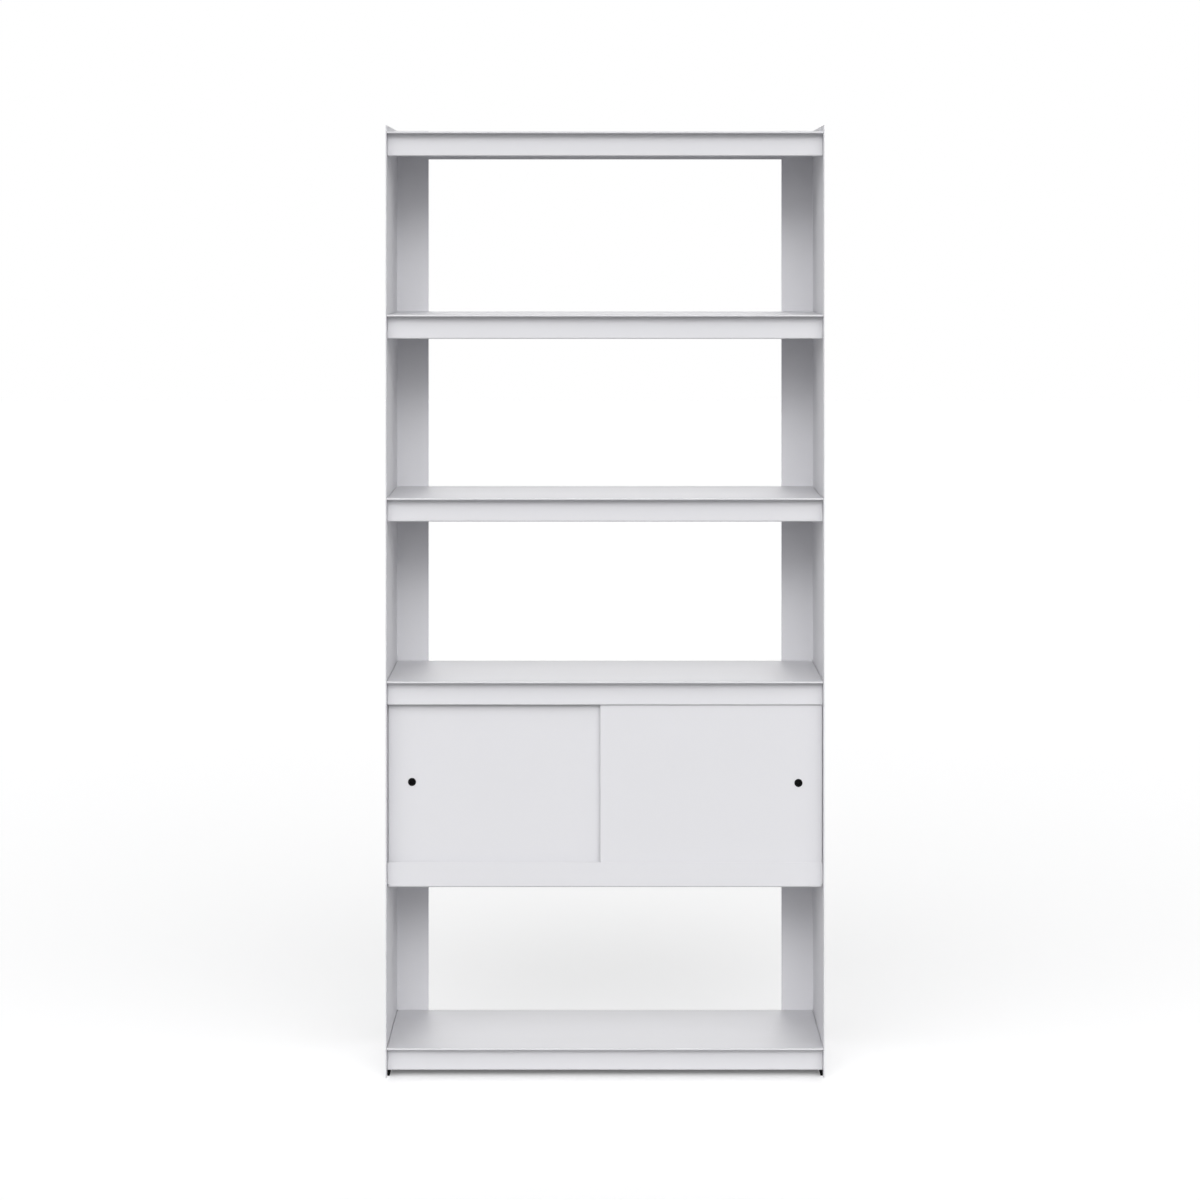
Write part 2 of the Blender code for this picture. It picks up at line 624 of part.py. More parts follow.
def glide_places():
    """Stem places of the four floor glides, with the side and the end that each is on."""
    front = LIP_FACE + LIP_RETURN / 2
    rear = REAR_LIP_FACE - LIP_RETURN / 2
    return [(side, end, side * GLIDE_STEM_X, front if end < 0 else rear)
            for side in (-1, 1) for end in (-1, 1)]


def glide_bores():
    """Holes for the glides' stems in the returns of the base shelf."""
    radius = GLIDE_STEM_RADIUS + BORE_CLEARANCE
    reach = 2 * (SHELF_SHEET + CUT_OVERRUN)
    return [((x, y, SHELF_SHEET / 2 - LIP_DROP), (0, 0, 1), radius, reach)
            for side, end, x, y in glide_places()]


def add_glides(material):
    """Narrow floor glides beside the panels' webs, each held by a stem in the base shelf."""
    outer = GLIDE_STEM_WEB_DISTANCE - GLIDE_WEB_GAP
    inner = outer - GLIDE_WIDTH
    stem = turned_mesh("glide_stem", peg_profile(GLIDE_STEM_RADIUS, GLIDE_STEM_HEAD_RADIUS,
                                                 GLIDE_STEM_HEAD_HEIGHT, SHELF_SHEET, GLIDE_TOP / 2),
                       BORE_STEPS)
    for side, end, x, y in glide_places():
        name = f"floor_glide_{'front' if end < 0 else 'rear'}_{'left' if side < 0 else 'right'}"
        curve = [(inner + GLIDE_EDGE_WIDTH * (1 - cos(radians(90 * step / EDGE_STEPS))),
                  GLIDE_EDGE_HEIGHT * (1 - sin(radians(90 * step / EDGE_STEPS))))
                 for step in range(EDGE_STEPS + 1)]
        outline = [(side * across, up - GLIDE_TOP)
                   for across, up in [(outer, 0), (outer, GLIDE_TOP), (inner, GLIDE_TOP), *curve]]
        mesh = extruded_mesh(name, outline, GLIDE_LENGTH / 2, axis="Y")
        inwards = -end * (GLIDE_LENGTH / 2 - GLIDE_STEM_END_DISTANCE)
        mesh.transform(Matrix.Translation((0, inwards, 0)))
        glide = add_object(name, mesh, material, (x, y, GLIDE_TOP))
        combine(glide, helper_object(name + "_stem", stem, parent=glide), "UNION")


def build():
    """Makes every piece of the bookcase."""
    clear_scene()
    materials = {
        "paint": finish_material("powder_coat", (0.76, 0.76, 0.78), 0.5, 0),
        "black": finish_material("black_plastic", (0.012, 0.012, 0.013), 0.45, 0),
        "track": finish_material("track_plastic", (0.72, 0.72, 0.74), 0.4, 0),
        "screw": finish_material("zinc_plated_steel", (0.62, 0.62, 0.63), 0.35, 1),
    }
    for side in (-1, 1):
        side_panel(side, materials["paint"])
    for name in SHELF_NAMES:
        if name != "cabinet_floor_tray":
            add_shelf(name, materials["paint"])
    add_floor_tray(materials["paint"])
    add_back_panel(materials["paint"])
    add_tracks(materials["track"])
    for side in (-1, 1):
        add_door(side, materials)
    add_screws(materials["screw"])
    add_glides(materials["black"])


build()
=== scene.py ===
# %% [markdown]
# # A sheet-steel bookcase with a sliding-door cabinet
#
# The real object is a set of folded, powder-coated steel sheets that are screwed together: two side
# panels, five shelves, a tray that is the cabinet's floor, a back sheet and two sliding doors. A box
# with a bevel would give the outline, but not the hems, fold radii and relief cuts that light catches.
# So this lesson works as a sheet metal shop does. Each sheet starts as a flat blank with its holes
# punched, is folded by a formula, and gets its wall and its softened cut edges last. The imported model
# gives every place, so that nothing is fitted by eye.

import json
from math import cos, pi, radians, sin

import bmesh
import bpy
import numpy as np
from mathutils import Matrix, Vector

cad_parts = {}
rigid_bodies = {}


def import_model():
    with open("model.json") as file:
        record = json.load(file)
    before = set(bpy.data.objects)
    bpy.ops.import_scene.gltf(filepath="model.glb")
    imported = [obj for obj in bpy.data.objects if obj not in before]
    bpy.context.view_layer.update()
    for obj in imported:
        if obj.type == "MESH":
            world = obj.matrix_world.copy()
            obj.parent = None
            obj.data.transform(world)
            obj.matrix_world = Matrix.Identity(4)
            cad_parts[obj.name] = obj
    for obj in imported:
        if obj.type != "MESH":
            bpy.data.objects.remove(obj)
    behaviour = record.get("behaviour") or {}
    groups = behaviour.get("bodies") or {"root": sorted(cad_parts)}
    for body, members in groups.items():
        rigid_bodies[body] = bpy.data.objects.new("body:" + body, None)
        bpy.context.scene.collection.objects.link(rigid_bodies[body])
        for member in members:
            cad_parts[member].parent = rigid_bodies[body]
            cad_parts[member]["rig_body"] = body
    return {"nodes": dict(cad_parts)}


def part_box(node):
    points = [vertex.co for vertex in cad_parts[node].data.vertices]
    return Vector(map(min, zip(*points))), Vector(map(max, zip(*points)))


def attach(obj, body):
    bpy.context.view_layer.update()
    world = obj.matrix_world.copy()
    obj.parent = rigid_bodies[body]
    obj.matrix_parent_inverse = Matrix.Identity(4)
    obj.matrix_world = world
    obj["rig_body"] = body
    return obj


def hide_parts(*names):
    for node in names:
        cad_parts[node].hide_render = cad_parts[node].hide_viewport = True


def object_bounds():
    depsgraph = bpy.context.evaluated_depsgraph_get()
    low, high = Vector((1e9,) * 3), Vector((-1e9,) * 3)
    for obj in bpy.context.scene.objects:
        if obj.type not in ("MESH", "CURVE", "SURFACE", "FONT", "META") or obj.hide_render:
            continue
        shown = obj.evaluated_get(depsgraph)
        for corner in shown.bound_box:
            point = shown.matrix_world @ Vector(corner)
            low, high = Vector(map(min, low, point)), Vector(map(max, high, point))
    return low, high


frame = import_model()
cad_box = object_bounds()

# %% [markdown]
# ## Camera
#
# The photograph has upright lines that stay upright, as a shift lens gives. The camera therefore looks
# level at eye height, and its lens is shifted down until the bookcase is in the frame. A tilted camera
# would make the side panels lean.

# %% Camera
LENS = 100.0
SENSOR = 36.0
CAMERA_DISTANCE = 6.833
CAMERA_HEIGHT = 1.706
CAMERA_SHIFT = (-0.0042, -0.2946)
CAMERA_REACH = 200.0

camera_data = bpy.data.cameras.new("camera")
camera_data.lens = LENS
camera_data.sensor_width = SENSOR
camera_data.shift_x, camera_data.shift_y = CAMERA_SHIFT
camera_data.clip_end = CAMERA_REACH
camera = bpy.data.objects.new("camera", camera_data)
camera.location = (0, cad_box[0].y - CAMERA_DISTANCE, CAMERA_HEIGHT)
camera.rotation_euler = (pi / 2, 0, 0)
bpy.context.scene.collection.objects.link(camera)
bpy.context.scene.camera = camera
print(f"Camera {CAMERA_DISTANCE} m from the front, {CAMERA_HEIGHT} m above the floor")

# %% [markdown]
# ## Places from the frame
#
# Each piece takes its place from the node that it stands for. One helper reads an edge of a node's box,
# and another the middle between two edges.

# %% Read a node's edges
X, Y, Z = 0, 1, 2
LOW, HIGH = 0, 1
PLACE_DIGITS = 6


def edge(node, end, axis):
    """A node's lowest or highest place along an axis, to a micrometre."""
    return round(float(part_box(node)[end][axis]), PLACE_DIGITS)


def middle(node, axis):
    """Half way between a node's two edges along an axis."""
    return (edge(node, LOW, axis) + edge(node, HIGH, axis)) / 2


SHELVES = ("base_shelf", "cabinet_floor_tray", "cabinet_top_shelf", "middle_shelf", "upper_shelf",
           "top_shelf")
SIDES = {"left": -1, "right": 1}
FRONT = edge("right_side_panel", LOW, Y)
BACK = edge("right_side_panel", HIGH, Y)
OUTSIDE = edge("right_side_panel", HIGH, X)
FOOT = edge("right_side_panel", LOW, Z)
HEAD = edge("right_side_panel", HIGH, Z)
print(f"Panels {2 * OUTSIDE:.3f} m apart outside, {BACK - FRONT:.3f} m deep, {HEAD:.3f} m high")

# %% [markdown]
# ## Folding a flat blank
#
# A folded sheet is a strip that runs straight, turns, and runs straight again, while nothing changes
# along the fold. So the flat blank has two parameters: the distance along the strip and the distance
# along the fold. The strip's runs and bends are walked like a turtle's path, which gives a table of
# stations. Any point of the blank then finds its place in the section between two stations.

# %% A strip of straight runs and bends
BEND_STEPS = 15


def bent_strip(start, heading, runs):
    """Walks along a folded strip and returns its stations, their places and where each run starts.

    A straight run is a length along the heading, in degrees. A bend is (radius, turn): its centre lies a
    radius to the left of the heading for a positive turn and to the right for a negative one, and each
    point is the centre plus the radius in a direction that turns evenly. A station is the distance
    walked so far.
    """
    place, angle = np.array(start, float), radians(heading)
    stations, places, marks = [np.zeros(1)], [place[None]], [0.0]
    for run in runs:
        if np.ndim(run) == 0:
            points = place[None] + run * np.array([[cos(angle), sin(angle)]])
            lengths = np.array([run])
        else:
            radius, turn = run[0], radians(run[1])
            side = np.sign(turn)
            centre = place + side * radius * np.array([-sin(angle), cos(angle)])
            shares = np.arange(1, BEND_STEPS + 1) / BEND_STEPS
            around = angle - side * pi / 2 + turn * shares
            points = centre + radius * np.stack([np.cos(around), np.sin(around)], axis=1)
            lengths = radius * abs(turn) * shares
            angle += turn
        stations.append(marks[-1] + lengths)
        places.append(points)
        marks.append(marks[-1] + lengths[-1])
        place = points[-1]
    return np.concatenate(stations), np.concatenate(places), marks


def on_strip(strip, distance):
    """Places in the section at distances along a strip, straight between its stations."""
    stations, places = strip[:2]
    return np.interp(distance, stations, places[:, 0]), np.interp(distance, stations, places[:, 1])


print(f"A quarter bend has {BEND_STEPS} steps of {90 / BEND_STEPS:.0f} degrees")

# %% A flat blank with holes and cut-outs
HOLE_STEPS = 32
LINE_DIGITS = 7


def beside(centres, margin):
    """Lines of a blank on both sides of some holes."""
    centres = np.atleast_1d(centres)
    return np.concatenate([centres - margin, centres + margin])


def blank(u_lines, v_lines, holes=(), gaps=()):
    """Flat blank between lines across u and v: its points and its faces, as quads and triangles.

    A gap is (u from, u to, v from, v to), and its cells are left out. A hole is (u, v, radius) in the
    middle of a cell. That cell is left out too, and each quarter of a ring of points, centre plus radius
    times cosine and sine, is joined to the cell's nearest corner.
    """
    u = np.unique(np.round(np.concatenate([np.atleast_1d(lines) for lines in u_lines]), LINE_DIGITS))
    v = np.unique(np.round(np.concatenate([np.atleast_1d(lines) for lines in v_lines]), LINE_DIGITS))
    across, along = np.meshgrid(u, v, indexing="ij")
    points = np.stack([across.ravel(), along.ravel()], axis=1)
    number = np.arange(len(points)).reshape(across.shape)
    cells = np.stack([number[:-1, :-1], number[1:, :-1], number[1:, 1:], number[:-1, 1:]], axis=-1)
    cells = cells.reshape(-1, 4)
    centres = points[cells].mean(axis=1)
    kept = np.ones(len(cells), bool)
    for u_from, u_to, v_from, v_to in gaps:
        inside = (centres > (u_from, v_from)) & (centres < (u_to, v_to))
        kept &= ~inside.all(axis=1)
    turn = pi + 2 * pi * np.arange(HOLE_STEPS) / HOLE_STEPS
    circle = np.stack([np.cos(turn), np.sin(turn)], axis=1)
    step = np.arange(HOLE_STEPS)
    quarter = np.arange(4)
    triangles = []
    for hole_u, hole_v, radius in holes:
        cell = np.argmin(np.abs(centres - (hole_u, hole_v)).max(axis=1))
        kept[cell] = False
        ring = len(points) + step
        points = np.concatenate([points, (hole_u, hole_v) + radius * circle])
        corners = cells[cell]
        triangles.append(np.stack([corners[step * 4 // HOLE_STEPS], ring, np.roll(ring, -1)], axis=1))
        shared = ring[(quarter + 1) * HOLE_STEPS // 4 % HOLE_STEPS]
        triangles.append(np.stack([corners, shared, np.roll(corners, -1)], axis=1))
    return points, [cells[kept], *triangles]


print(f"A punched hole has {HOLE_STEPS} points")

# %% [markdown]
# ## From points to a finished piece
#
# Patches such as a shelf's plate and its end flanges are worked out one by one and then joined where
# their edges meet. A sheet gets its wall from Solidify, half to each side of the surface that was
# folded, and Bevel rounds only the cut edges, because the folds turn by a few degrees a step and stay
# under its angle limit. Weighted normals come last: they keep the large flat faces flat in shading.

# %% Join patches into one mesh
WELD_DISTANCE = 0.000002


def skin(name, patches):
    """Joins patches of points and faces into one mesh, with its faces facing one way."""
    points, faces, count = [], [], 0
    for patch_points, patch_faces in patches:
        points.append(patch_points)
        faces += [face for group in patch_faces for face in (group + count).tolist()]
        count += len(patch_points)
    mesh = bpy.data.meshes.new(name)
    mesh.from_pydata(np.concatenate(points).tolist(), [], faces)
    shape = bmesh.new()
    shape.from_mesh(mesh)
    bmesh.ops.remove_doubles(shape, verts=shape.verts, dist=WELD_DISTANCE)
    bmesh.ops.recalc_face_normals(shape, faces=shape.faces)
    shape.to_mesh(mesh)
    shape.free()
    mesh.shade_smooth()
    return mesh


print(f"Patches are joined where points lie within {1e6 * WELD_DISTANCE:.0f} micrometres")

# %% Put a piece in its node's place
CUT_EDGE_ANGLE = radians(50)
CUT_EDGE_STEPS = 3
MATERIALS = {}


def add_piece(node, mesh, slot):
    """Adds a fine piece that stands for a node, moves with its body and takes its slot's finish."""
    piece = bpy.data.objects.new("fine_" + node, mesh)
    bpy.context.scene.collection.objects.link(piece)
    mesh.materials.append(MATERIALS[slot])
    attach(piece, frame["nodes"][node]["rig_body"])
    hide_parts(node)
    return piece


def soften(piece, width):
    """Rounds a piece's sharp edges, and keeps its flat faces flat in shading."""
    bevel = piece.modifiers.new("cut edges", "BEVEL")
    bevel.width = width
    bevel.segments = CUT_EDGE_STEPS
    bevel.limit_method = "ANGLE"
    bevel.angle_limit = CUT_EDGE_ANGLE
    bevel.use_clamp_overlap = False
    piece.modifiers.new("shading", "WEIGHTED_NORMAL")


def add_sheet(node, patches, thickness, edge_round):
    """Adds a folded sheet: its wall reaches half the thickness to each side of the patches."""
    piece = add_piece(node, skin(node, patches), "powder_coat")
    wall = piece.modifiers.new("wall", "SOLIDIFY")
    wall.thickness = thickness
    wall.offset = 0
    wall.use_even_offset = True
    wall.use_quality_normals = True
    soften(piece, edge_round)
    print(f"{node}: {len(piece.data.vertices)} points on its folded surface")


print("Pieces are named after their nodes, with fine_ before the name")

# %% [markdown]
# ## Grain, rubbed edges and dust
#
# Three effects are shared by several finishes, so each is a node group with named sockets. Sprayed and
# moulded surfaces have a fine grain over a broader waviness. Edges are made a little paler: on the
# plastic and the zinc that is rubbed wear, and on the powder coat it is partly wear and partly a painted
# highlight. Level faces gather a little dust. A photograph pasted on could not follow the folds, while
# these are worked out from each piece's own Object coordinates and stay with a door that slides.

# %% Helpers for nodes


def feed(tree, socket, value):
    """Gives a socket its value. A value that is another node's output is linked to it."""
    if isinstance(value, bpy.types.NodeSocket):
        tree.links.new(value, socket)
    else:
        socket.default_value = value


def add_node(tree, kind, settings=None, **inputs):
    """Adds a shader node with its settings, and its inputs by name."""
    node = tree.nodes.new("ShaderNode" + kind)
    for label, value in (settings or {}).items():
        setattr(node, label, value)
    for label, value in inputs.items():
        feed(tree, node.inputs[label.replace("_", " ")], value)
    return node


print("Shader nodes are added by kind, with their inputs by name")

# %% Sums, dot products and mixes


def add_maths(tree, operation, first, second=0.0, clamp=False):
    """Adds a Math node and returns its output."""
    node = add_node(tree, "Math", {"operation": operation, "use_clamp": clamp})
    feed(tree, node.inputs[0], first)
    feed(tree, node.inputs[1], second)
    return node.outputs[0]


def add_dot(tree, first, second):
    """Adds the dot product of two vectors and returns its output."""
    node = add_node(tree, "VectorMath", {"operation": "DOT_PRODUCT"})
    feed(tree, node.inputs[0], first)
    feed(tree, node.inputs[1], second)
    return node.outputs["Value"]


def add_mix(tree, factor, first, second):
    """Adds a colour mix, whose colour sockets have the numbers 6 and 7, and returns its output."""
    node = add_node(tree, "Mix", {"data_type": "RGBA"})
    for number, value in ((0, factor), (6, first), (7, second)):
        feed(tree, node.inputs[number], value)
    return node.outputs[2]


print("Sums and mixes take numbers, colours or other nodes' outputs")

# %% Node groups


def new_group(name, inputs, outputs):
    """Starts a group with inputs by name and value, of which None makes a vector, and float outputs."""
    group = bpy.data.node_groups.new(name, "ShaderNodeTree")
    for label, value in inputs.items():
        kind = "NodeSocketVector" if value is None else "NodeSocketFloat"
        socket = group.interface.new_socket(label, in_out="INPUT", socket_type=kind)
        if value is not None:
            socket.default_value = value
    for label in outputs:
        group.interface.new_socket(label, in_out="OUTPUT", socket_type="NodeSocketFloat")
    start = group.nodes.new("NodeGroupInput").outputs
    end = group.nodes.new("NodeGroupOutput").inputs
    return group, start, end


def use_group(tree, group, **inputs):
    """Places a node group in a material and returns its outputs."""
    return add_node(tree, "Group", {"node_tree": group}, **inputs).outputs


print("A node group is used like a node, with its own named sockets")

# %% Grain
GRAIN_SHARE = 0.35


def grain_group():
    """Waviness and grain as a height, and a slow mottle, from noises whose scale is one over a size."""
    group, start, end = new_group("surface grain", {"Place": None, "Wave Size": 0.003,
                                                    "Grain Size": 0.0004, "Mottle Size": 0.12},
                                  ("Height", "Mottle"))
    heights = []
    for label, detail in (("Wave Size", 1.0), ("Grain Size", 2.0), ("Mottle Size", 3.0)):
        scale = add_maths(group, "DIVIDE", 1.0, start[label])
        noise = add_node(group, "TexNoise", Vector=start["Place"], Scale=scale, Detail=detail)
        heights.append(noise.outputs["Fac"])
    fine = add_maths(group, "MULTIPLY", heights[1], GRAIN_SHARE)
    group.links.new(add_maths(group, "ADD", heights[0], fine), end["Height"])
    group.links.new(heights[2], end["Mottle"])
    return group


GRAIN = grain_group()
print(f"Grain: {len(GRAIN.nodes)} nodes")

# %% Rubbed edges and painted edge highlight
EDGE_GAIN = 2.0
EDGE_GAIN_SPREAD = 1.0
RUB_AND_HIGHLIGHT_SIZE = 0.009


def edge_wear_and_highlight_group():
    """One where the surface turns within a width: one minus the rounded normal times the true one."""
    group, start, end = new_group("rubbed edges", {"Place": None, "Width": 0.0008}, ("Edge",))
    rounded = add_node(group, "Bevel", {"samples": 4}, Radius=start["Width"]).outputs["Normal"]
    true = add_node(group, "NewGeometry").outputs["Normal"]
    turned_away = add_maths(group, "SUBTRACT", 1.0, add_dot(group, rounded, true))
    broken = add_node(group, "TexNoise", Vector=start["Place"], Scale=1 / RUB_AND_HIGHLIGHT_SIZE, Detail=3.0)
    spread = add_maths(group, "MULTIPLY", broken.outputs["Fac"], EDGE_GAIN_SPREAD)
    strength = add_maths(group, "ADD", spread, EDGE_GAIN)
    group.links.new(add_maths(group, "MULTIPLY", turned_away, strength, clamp=True), end["Edge"])
    return group


EDGE_WEAR_AND_HIGHLIGHT = edge_wear_and_highlight_group()
print(f"Rubbed edges: {len(EDGE_WEAR_AND_HIGHLIGHT.nodes)} nodes")

# %% Dust
DUST_SIZE = 0.05
DUST_LEVELNESS = 8.0


def dust_group():
    """Broken patches on faces that look up: a share of the normal's upright part times a noise."""
    group, start, end = new_group("settled dust", {"Place": None, "Amount": 0.1}, ("Dust",))
    normal = add_node(group, "NewGeometry").outputs["Normal"]
    upright = add_node(group, "SeparateXYZ", Vector=normal).outputs["Z"]
    level = add_maths(group, "POWER", add_maths(group, "MAXIMUM", upright, 0.0), DUST_LEVELNESS)
    patches = add_node(group, "TexNoise", Vector=start["Place"], Scale=1 / DUST_SIZE, Detail=6.0)
    amount = add_maths(group, "MULTIPLY", patches.outputs["Fac"], start["Amount"])
    group.links.new(add_maths(group, "MULTIPLY", level, amount, clamp=True), end["Dust"])
    return group


DUST = dust_group()
print(f"Dust: {len(DUST.nodes)} nodes")

# %% [markdown]
# ## Powder coat
#
# The steel is sprayed with a pale grey-white powder that melts into a satin skin. Up close it has a
# shallow waviness a few millimetres across, and a finer grain. It draws slightly thin on cut edges, and
# its edges are painted paler, partly as rubbed wear and partly as a painted highlight.

# %% A material and its surface


def new_material(name):
    """A material with its tree, its Principled shader and the piece's own Object coordinates."""
    material = bpy.data.materials.new(name)
    material.use_nodes = True
    tree = material.node_tree
    place = add_node(tree, "TexCoord").outputs["Object"]
    return material, tree, tree.nodes["Principled BSDF"].inputs, place


def link_surface(tree, shader, grain, roughness, strength, distance):
    """Roughness that wanders with the mottle, and a bump from the grain's height.

    The roughness is its lowest value plus the mottle times its spread.
    """
    lowest, spread = roughness
    wander = add_maths(tree, "MULTIPLY", grain["Mottle"], spread)
    tree.links.new(add_maths(tree, "ADD", wander, lowest), shader["Roughness"])
    bump = add_node(tree, "Bump", Strength=strength, Distance=distance, Height=grain["Height"])
    tree.links.new(bump.outputs["Normal"], shader["Normal"])


print("A material has a Principled shader and takes the piece's own coordinates")

# %% Powder coat
PAINT = (0.732, 0.731, 0.757, 1)
PAINT_MOTTLED = (0.718, 0.717, 0.743, 1)
# Paler colour at edges: partly rubbed wear, partly a painted highlight on the noses and panel edges.
PAINT_RUBBED_AND_HIGHLIGHT = (0.84, 0.84, 0.85, 1)
PAINT_ROUGHNESS = (0.44, 0.08)
PAINT_RUB_AND_HIGHLIGHT = 0.5
DUST_COLOUR = (0.64, 0.63, 0.61, 1)


def powder_coat():
    """Satin paint: mottled a little, paler at edges as rubbed wear and a painted highlight, dusty on level
    faces, with a fine waviness.
    """
    material, tree, shader, place = new_material("powder_coat")
    grain = use_group(tree, GRAIN, Place=place, Wave_Size=0.0032, Grain_Size=0.0005, Mottle_Size=0.15)
    edge_mask = use_group(tree, EDGE_WEAR_AND_HIGHLIGHT, Place=place, Width=0.0009)["Edge"]
    dust = use_group(tree, DUST, Place=place, Amount=0.12)["Dust"]
    colour = add_mix(tree, grain["Mottle"], PAINT, PAINT_MOTTLED)
    # Edges are mixed paler here: partly rubbed wear, partly a painted highlight.
    colour = add_mix(tree, add_maths(tree, "MULTIPLY", edge_mask, PAINT_RUB_AND_HIGHLIGHT), colour, PAINT_RUBBED_AND_HIGHLIGHT)
    tree.links.new(add_mix(tree, dust, colour, DUST_COLOUR), shader["Base Color"])
    link_surface(tree, shader, grain, PAINT_ROUGHNESS, strength=0.5, distance=0.00006)
    return material


MATERIALS["powder_coat"] = powder_coat()
print("Powder coat base colour", PAINT[:3])

# %% [markdown]
# ## Plastics
#
# The pulls, shoes, guides and glides are moulded in black plastic with a fine spark-eroded grain. The
# tracks are extruded in a pale plastic, which leaves faint lines along their length.

# %% Black plastic
BLACK = (0.003, 0.003, 0.0034, 1)
BLACK_RUBBED = (0.012, 0.012, 0.013, 1)
BLACK_ROUGHNESS = (0.40, 0.15)
BLACK_SPECULAR = 0.10


def black_plastic():
    """Nearly black, a little paler where it is rubbed, with a fine grain."""
    material, tree, shader, place = new_material("black_plastic")
    grain = use_group(tree, GRAIN, Place=place, Wave_Size=0.0016, Grain_Size=0.00022, Mottle_Size=0.01)
    edge_mask = use_group(tree, EDGE_WEAR_AND_HIGHLIGHT, Place=place, Width=0.0004)["Edge"]
    wear = add_maths(tree, "MULTIPLY", edge_mask, grain["Mottle"])
    tree.links.new(add_mix(tree, wear, BLACK, BLACK_RUBBED), shader["Base Color"])
    shader["Specular IOR Level"].default_value = BLACK_SPECULAR
    link_surface(tree, shader, grain, BLACK_ROUGHNESS, strength=0.6, distance=0.00004)
    return material


MATERIALS["black_plastic"] = black_plastic()
print(f"Black plastic: roughness from {BLACK_ROUGHNESS[0]:.2f} to {sum(BLACK_ROUGHNESS):.2f}")

# %% Track plastic
TRACK_PALE = (0.70, 0.70, 0.72, 1)
TRACK_DULL = (0.62, 0.62, 0.64, 1)
TRACK_ROUGHNESS = (0.30, 0.20)
TRACK_STRETCH = (0.02, 1.0, 1.0)


def track_plastic():
    """Pale plastic with lines along X, from a noise that is stretched along the extrusion."""
    material, tree, shader, place = new_material("track_plastic")
    stretched = add_node(tree, "Mapping", Vector=place, Scale=TRACK_STRETCH).outputs["Vector"]
    lines = use_group(tree, GRAIN, Place=stretched, Wave_Size=0.0012, Grain_Size=0.0003,
                      Mottle_Size=0.004)
    dust = use_group(tree, DUST, Place=place, Amount=0.3)["Dust"]
    colour = add_mix(tree, lines["Mottle"], TRACK_PALE, TRACK_DULL)
    tree.links.new(add_mix(tree, dust, colour, DUST_COLOUR), shader["Base Color"])
    link_surface(tree, shader, lines, TRACK_ROUGHNESS, strength=0.6, distance=0.00005)
    return material


MATERIALS["track_plastic"] = track_plastic()
print(f"Track plastic: roughness from {TRACK_ROUGHNESS[0]:.2f} to {sum(TRACK_ROUGHNESS):.2f}")

# %% [markdown]
# ## Zinc-plated steel
#
# The screws are plated with bright zinc. It is a metal with a faint bluish mottle, and rubbed bright
# where a key or a washer face has touched it.

# %% Zinc plate
ZINC = (0.62, 0.63, 0.66, 1)
ZINC_WARM = (0.66, 0.64, 0.58, 1)
ZINC_RUBBED = (0.80, 0.80, 0.80, 1)
ZINC_ROUGHNESS = (0.22, 0.25)


def zinc_plated_steel():
    """Metal whose colour and gloss wander a little, brighter at rubbed edges."""
    material, tree, shader, place = new_material("zinc_plated_steel")
    grain = use_group(tree, GRAIN, Place=place, Wave_Size=0.0014, Grain_Size=0.0002, Mottle_Size=0.005)
    edge_mask = use_group(tree, EDGE_WEAR_AND_HIGHLIGHT, Place=place, Width=0.0004)["Edge"]
    colour = add_mix(tree, grain["Mottle"], ZINC, ZINC_WARM)
    tree.links.new(add_mix(tree, edge_mask, colour, ZINC_RUBBED), shader["Base Color"])
    shader["Metallic"].default_value = 1.0
    link_surface(tree, shader, grain, ZINC_ROUGHNESS, strength=0.4, distance=0.00003)
    return material


MATERIALS["zinc_plated_steel"] = zinc_plated_steel()
print("Slots with a finish:", ", ".join(MATERIALS))

# %% [markdown]
# ## Side panels
#
# Each side panel is one sheet: an upright web, and a flange that is folded inwards along the rear edge.
# The strip runs from the web's front edge to the rear, turns a quarter, and runs inwards. The screws
# show through twelve small holes, whose places are read from the screws' nodes.

# %% Side panels
PANEL_SHEET = 0.0020
PANEL_BEND = 0.0030
PANEL_EDGE_ROUND = 0.00040
SCREW_HOLE = 0.0033
HOLE_MARGIN = 0.0080


def screw_places(side, kind, axis):
    """Where a side's screws of one kind lie along an axis, one for each shelf."""
    return np.array([middle(f"{shelf}_{side}_{kind}_screw", axis) for shelf in SHELVES])


REAR_SCREW_X = screw_places("right", "rear", X)[0] * np.array([-1, 1])


def add_side_panel(side):
    """Lays out the blank, with the distance from the front edge and the height, and folds it."""
    node = side + "_side_panel"
    flange_edge = OUTSIDE - (edge(node, HIGH, X) - edge(node, LOW, X))
    web, rear = OUTSIDE - PANEL_SHEET / 2, BACK - PANEL_SHEET / 2
    strip = bent_strip((web, FRONT), 90, [rear - PANEL_BEND - FRONT, (PANEL_BEND, 90),
                                          web - PANEL_BEND - flange_edge])
    heights = screw_places(side, "end", Z)
    web_holes = screw_places(side, "end", Y) - FRONT
    flange_holes = strip[2][2] + web - PANEL_BEND - np.abs(screw_places(side, "rear", X))
    holes = [(along, height, SCREW_HOLE) for places in (web_holes, flange_holes)
             for along, height in zip(places, heights)]
    lines = [strip[0], beside(web_holes, HOLE_MARGIN), beside(flange_holes, HOLE_MARGIN)]
    points, faces = blank(lines, [FOOT, HEAD, beside(heights, HOLE_MARGIN)], holes)
    x, y = on_strip(strip, points[:, 0])
    folded = np.stack([SIDES[side] * x, y, points[:, 1]], axis=1)
    add_sheet(node, [(folded, faces)], PANEL_SHEET, PANEL_EDGE_ROUND)


for side_name in SIDES:
    add_side_panel(side_name)

